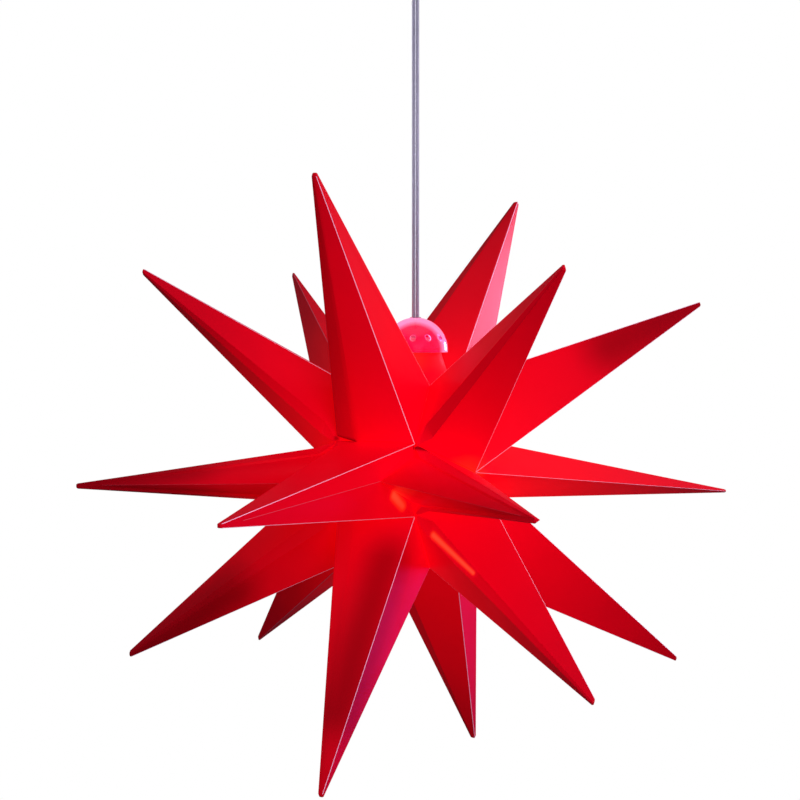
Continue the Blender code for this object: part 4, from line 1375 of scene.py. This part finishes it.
    def feet(self, mesh: bmesh.types.BMesh) -> list[Point]:
        """Gives the feet of all corners of the spike's outside."""
        return sorted({self.foot(e) for e in mesh.edges if self.is_outside(e)})

    def nearest(self, foot: Point, feet: list[Point]) -> float:
        """Gives the distance from a foot to the nearest other one."""
        here = Vector(foot)
        return min((Vector(other) - here).length for other in feet if other != foot)


class Finish(Enum):
    """Finishes of the cap plate, the lamp unit and the hanger."""

    # Injection-moulded clear styrene: a faint pink gloss, as over the star below it.
    CLEAR_STYRENE = ClearPlastic()
    # Injection-moulded white polycarbonate: a satin off-white with a fine grain.
    WHITE_POLYCARBONATE = PlainFinish("#EDEDE9", 0.42)
    # Nickel-plated steel: bright soft highlights on silver grey, barely rippled by the plating.
    NICKEL_PLATED_STEEL = PlainFinish("#ECECF0", 0.24, 0.60, 0.8 * MM)
    # Cast aluminium: a dull silver with a sandy grain.
    CAST_ALUMINIUM = PlainFinish("#D4D4D8", 0.38, 1.0, 0.6 * MM)
    # Circuit board under a white solder coat: an even, half-matt white.
    COATED_BOARD = PlainFinish("#E6E8E4", 0.5)
    # Phosphor in silicone: a yellow square that glows warm white.
    PHOSPHOR = PlainFinish("#F2C84A", 0.5, glow="#FFD890", glow_strength=4.0)
    # Frosted polycarbonate: an even orange glow with no sharp highlight.
    FROSTED_DIFFUSER = PlainFinish("#F6E0D8", 0.5, glow="#FF9A70", glow_strength=0.9)
    # Extruded soft PVC: hazier than styrene, and nearly without colour.
    CLEAR_PVC_TAIL = ClearPlastic("#E4E4F4", 0.14, 0.6)


@dataclass(frozen=True)
class Part:
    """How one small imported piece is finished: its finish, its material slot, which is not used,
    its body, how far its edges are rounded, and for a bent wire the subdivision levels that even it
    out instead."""

    finish: Finish
    slot: str
    body: Body = Body.PENDANT
    edge: float = 0.25 * MM
    levels: int = 0


@dataclass
class Fittings:
    """Cap plate, lamp unit and hanger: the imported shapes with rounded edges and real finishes."""

    wire_angle: float = 50.0

    def build(self) -> None:
        """Finishes each piece."""
        clear, white = Finish.CLEAR_STYRENE, Finish.WHITE_POLYCARBONATE
        nickel, ceiling = Finish.NICKEL_PLATED_STEEL, Body.CEILING
        pieces = {
            "cap_plate": Part(clear, "clear_plastic"),
            "cord_bush": Part(clear, "clear_plastic"),
            "cord_tail": Part(Finish.CLEAR_PVC_TAIL, "cord_sheath"),
            "grip_body": Part(clear, "clear_plastic", edge=0.4 * MM),
            "grip_cap": Part(clear, "clear_plastic", edge=0.3 * MM),
            "grip_screw": Part(nickel, "plated_steel", edge=0.15 * MM),
            "cord_clamp": Part(white, "white_plastic", edge=0.35 * MM),
            "lamp_holder": Part(white, "white_plastic", edge=0.35 * MM),
            "holder_nut": Part(white, "white_plastic", edge=0.35 * MM),
            "led_base": Part(Finish.CAST_ALUMINIUM, "lamp_metal", edge=0.15 * MM),
            "led_board": Part(Finish.COATED_BOARD, "lamp_board", edge=0.15 * MM),
            "led_emitter": Part(Finish.PHOSPHOR, "lamp_emitter", edge=0.15 * MM),
            "led_bulb": Part(Finish.FROSTED_DIFFUSER, "frosted_plastic", edge=0.2 * MM),
            "ceiling_plate": Part(white, "white_plastic", ceiling, 0.3 * MM),
            "plate_screw_right": Part(nickel, "plated_steel", ceiling, 0.2 * MM),
            "plate_screw_left": Part(nickel, "plated_steel", ceiling, 0.2 * MM),
            "ceiling_hook": Part(nickel, "plated_steel", ceiling, levels=1),
            "hanging_ring": Part(nickel, "plated_steel", Body.RING, levels=1),
            "swivel_eye": Part(nickel, "plated_steel", Body.EYE, 0.15 * MM),
        }
        materials = {finish: finish.value.build(finish.name.lower()) for finish in Finish}
        for node, part in pieces.items():
            self.finish(node, materials[part.finish], part)

    def finish(self, node: str, material: Material, part: Part) -> None:
        """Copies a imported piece, rounds it and gives it its material.

        Args:
            node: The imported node.
            material: Its finish.
            part: How it is finished.
        """
        obj = copy_node(node, flats=not part.levels)
        if part.levels:
            curve = obj.modifiers.new("even", "SUBSURF")
            curve.levels = part.levels
            curve.render_levels = part.levels
            apply_modifiers(obj)
            smooth(obj, self.wire_angle)
        else:
            round_edges(obj, part.edge)
        dress(obj, material)
        settle(obj, f"{node}_finished", part.body, (node,))


def main() -> None:
    """Builds the studio and dresses the star."""
    logging.basicConfig(level=logging.INFO, format="%(name)s: %(message)s")
    studio = Studio()
    studio.build()
    TwinCord().build()
    DomedCap().build()
    Shell().build()
    Fittings().build()
    studio.light_rims()


if __name__ == "__main__":
    main()
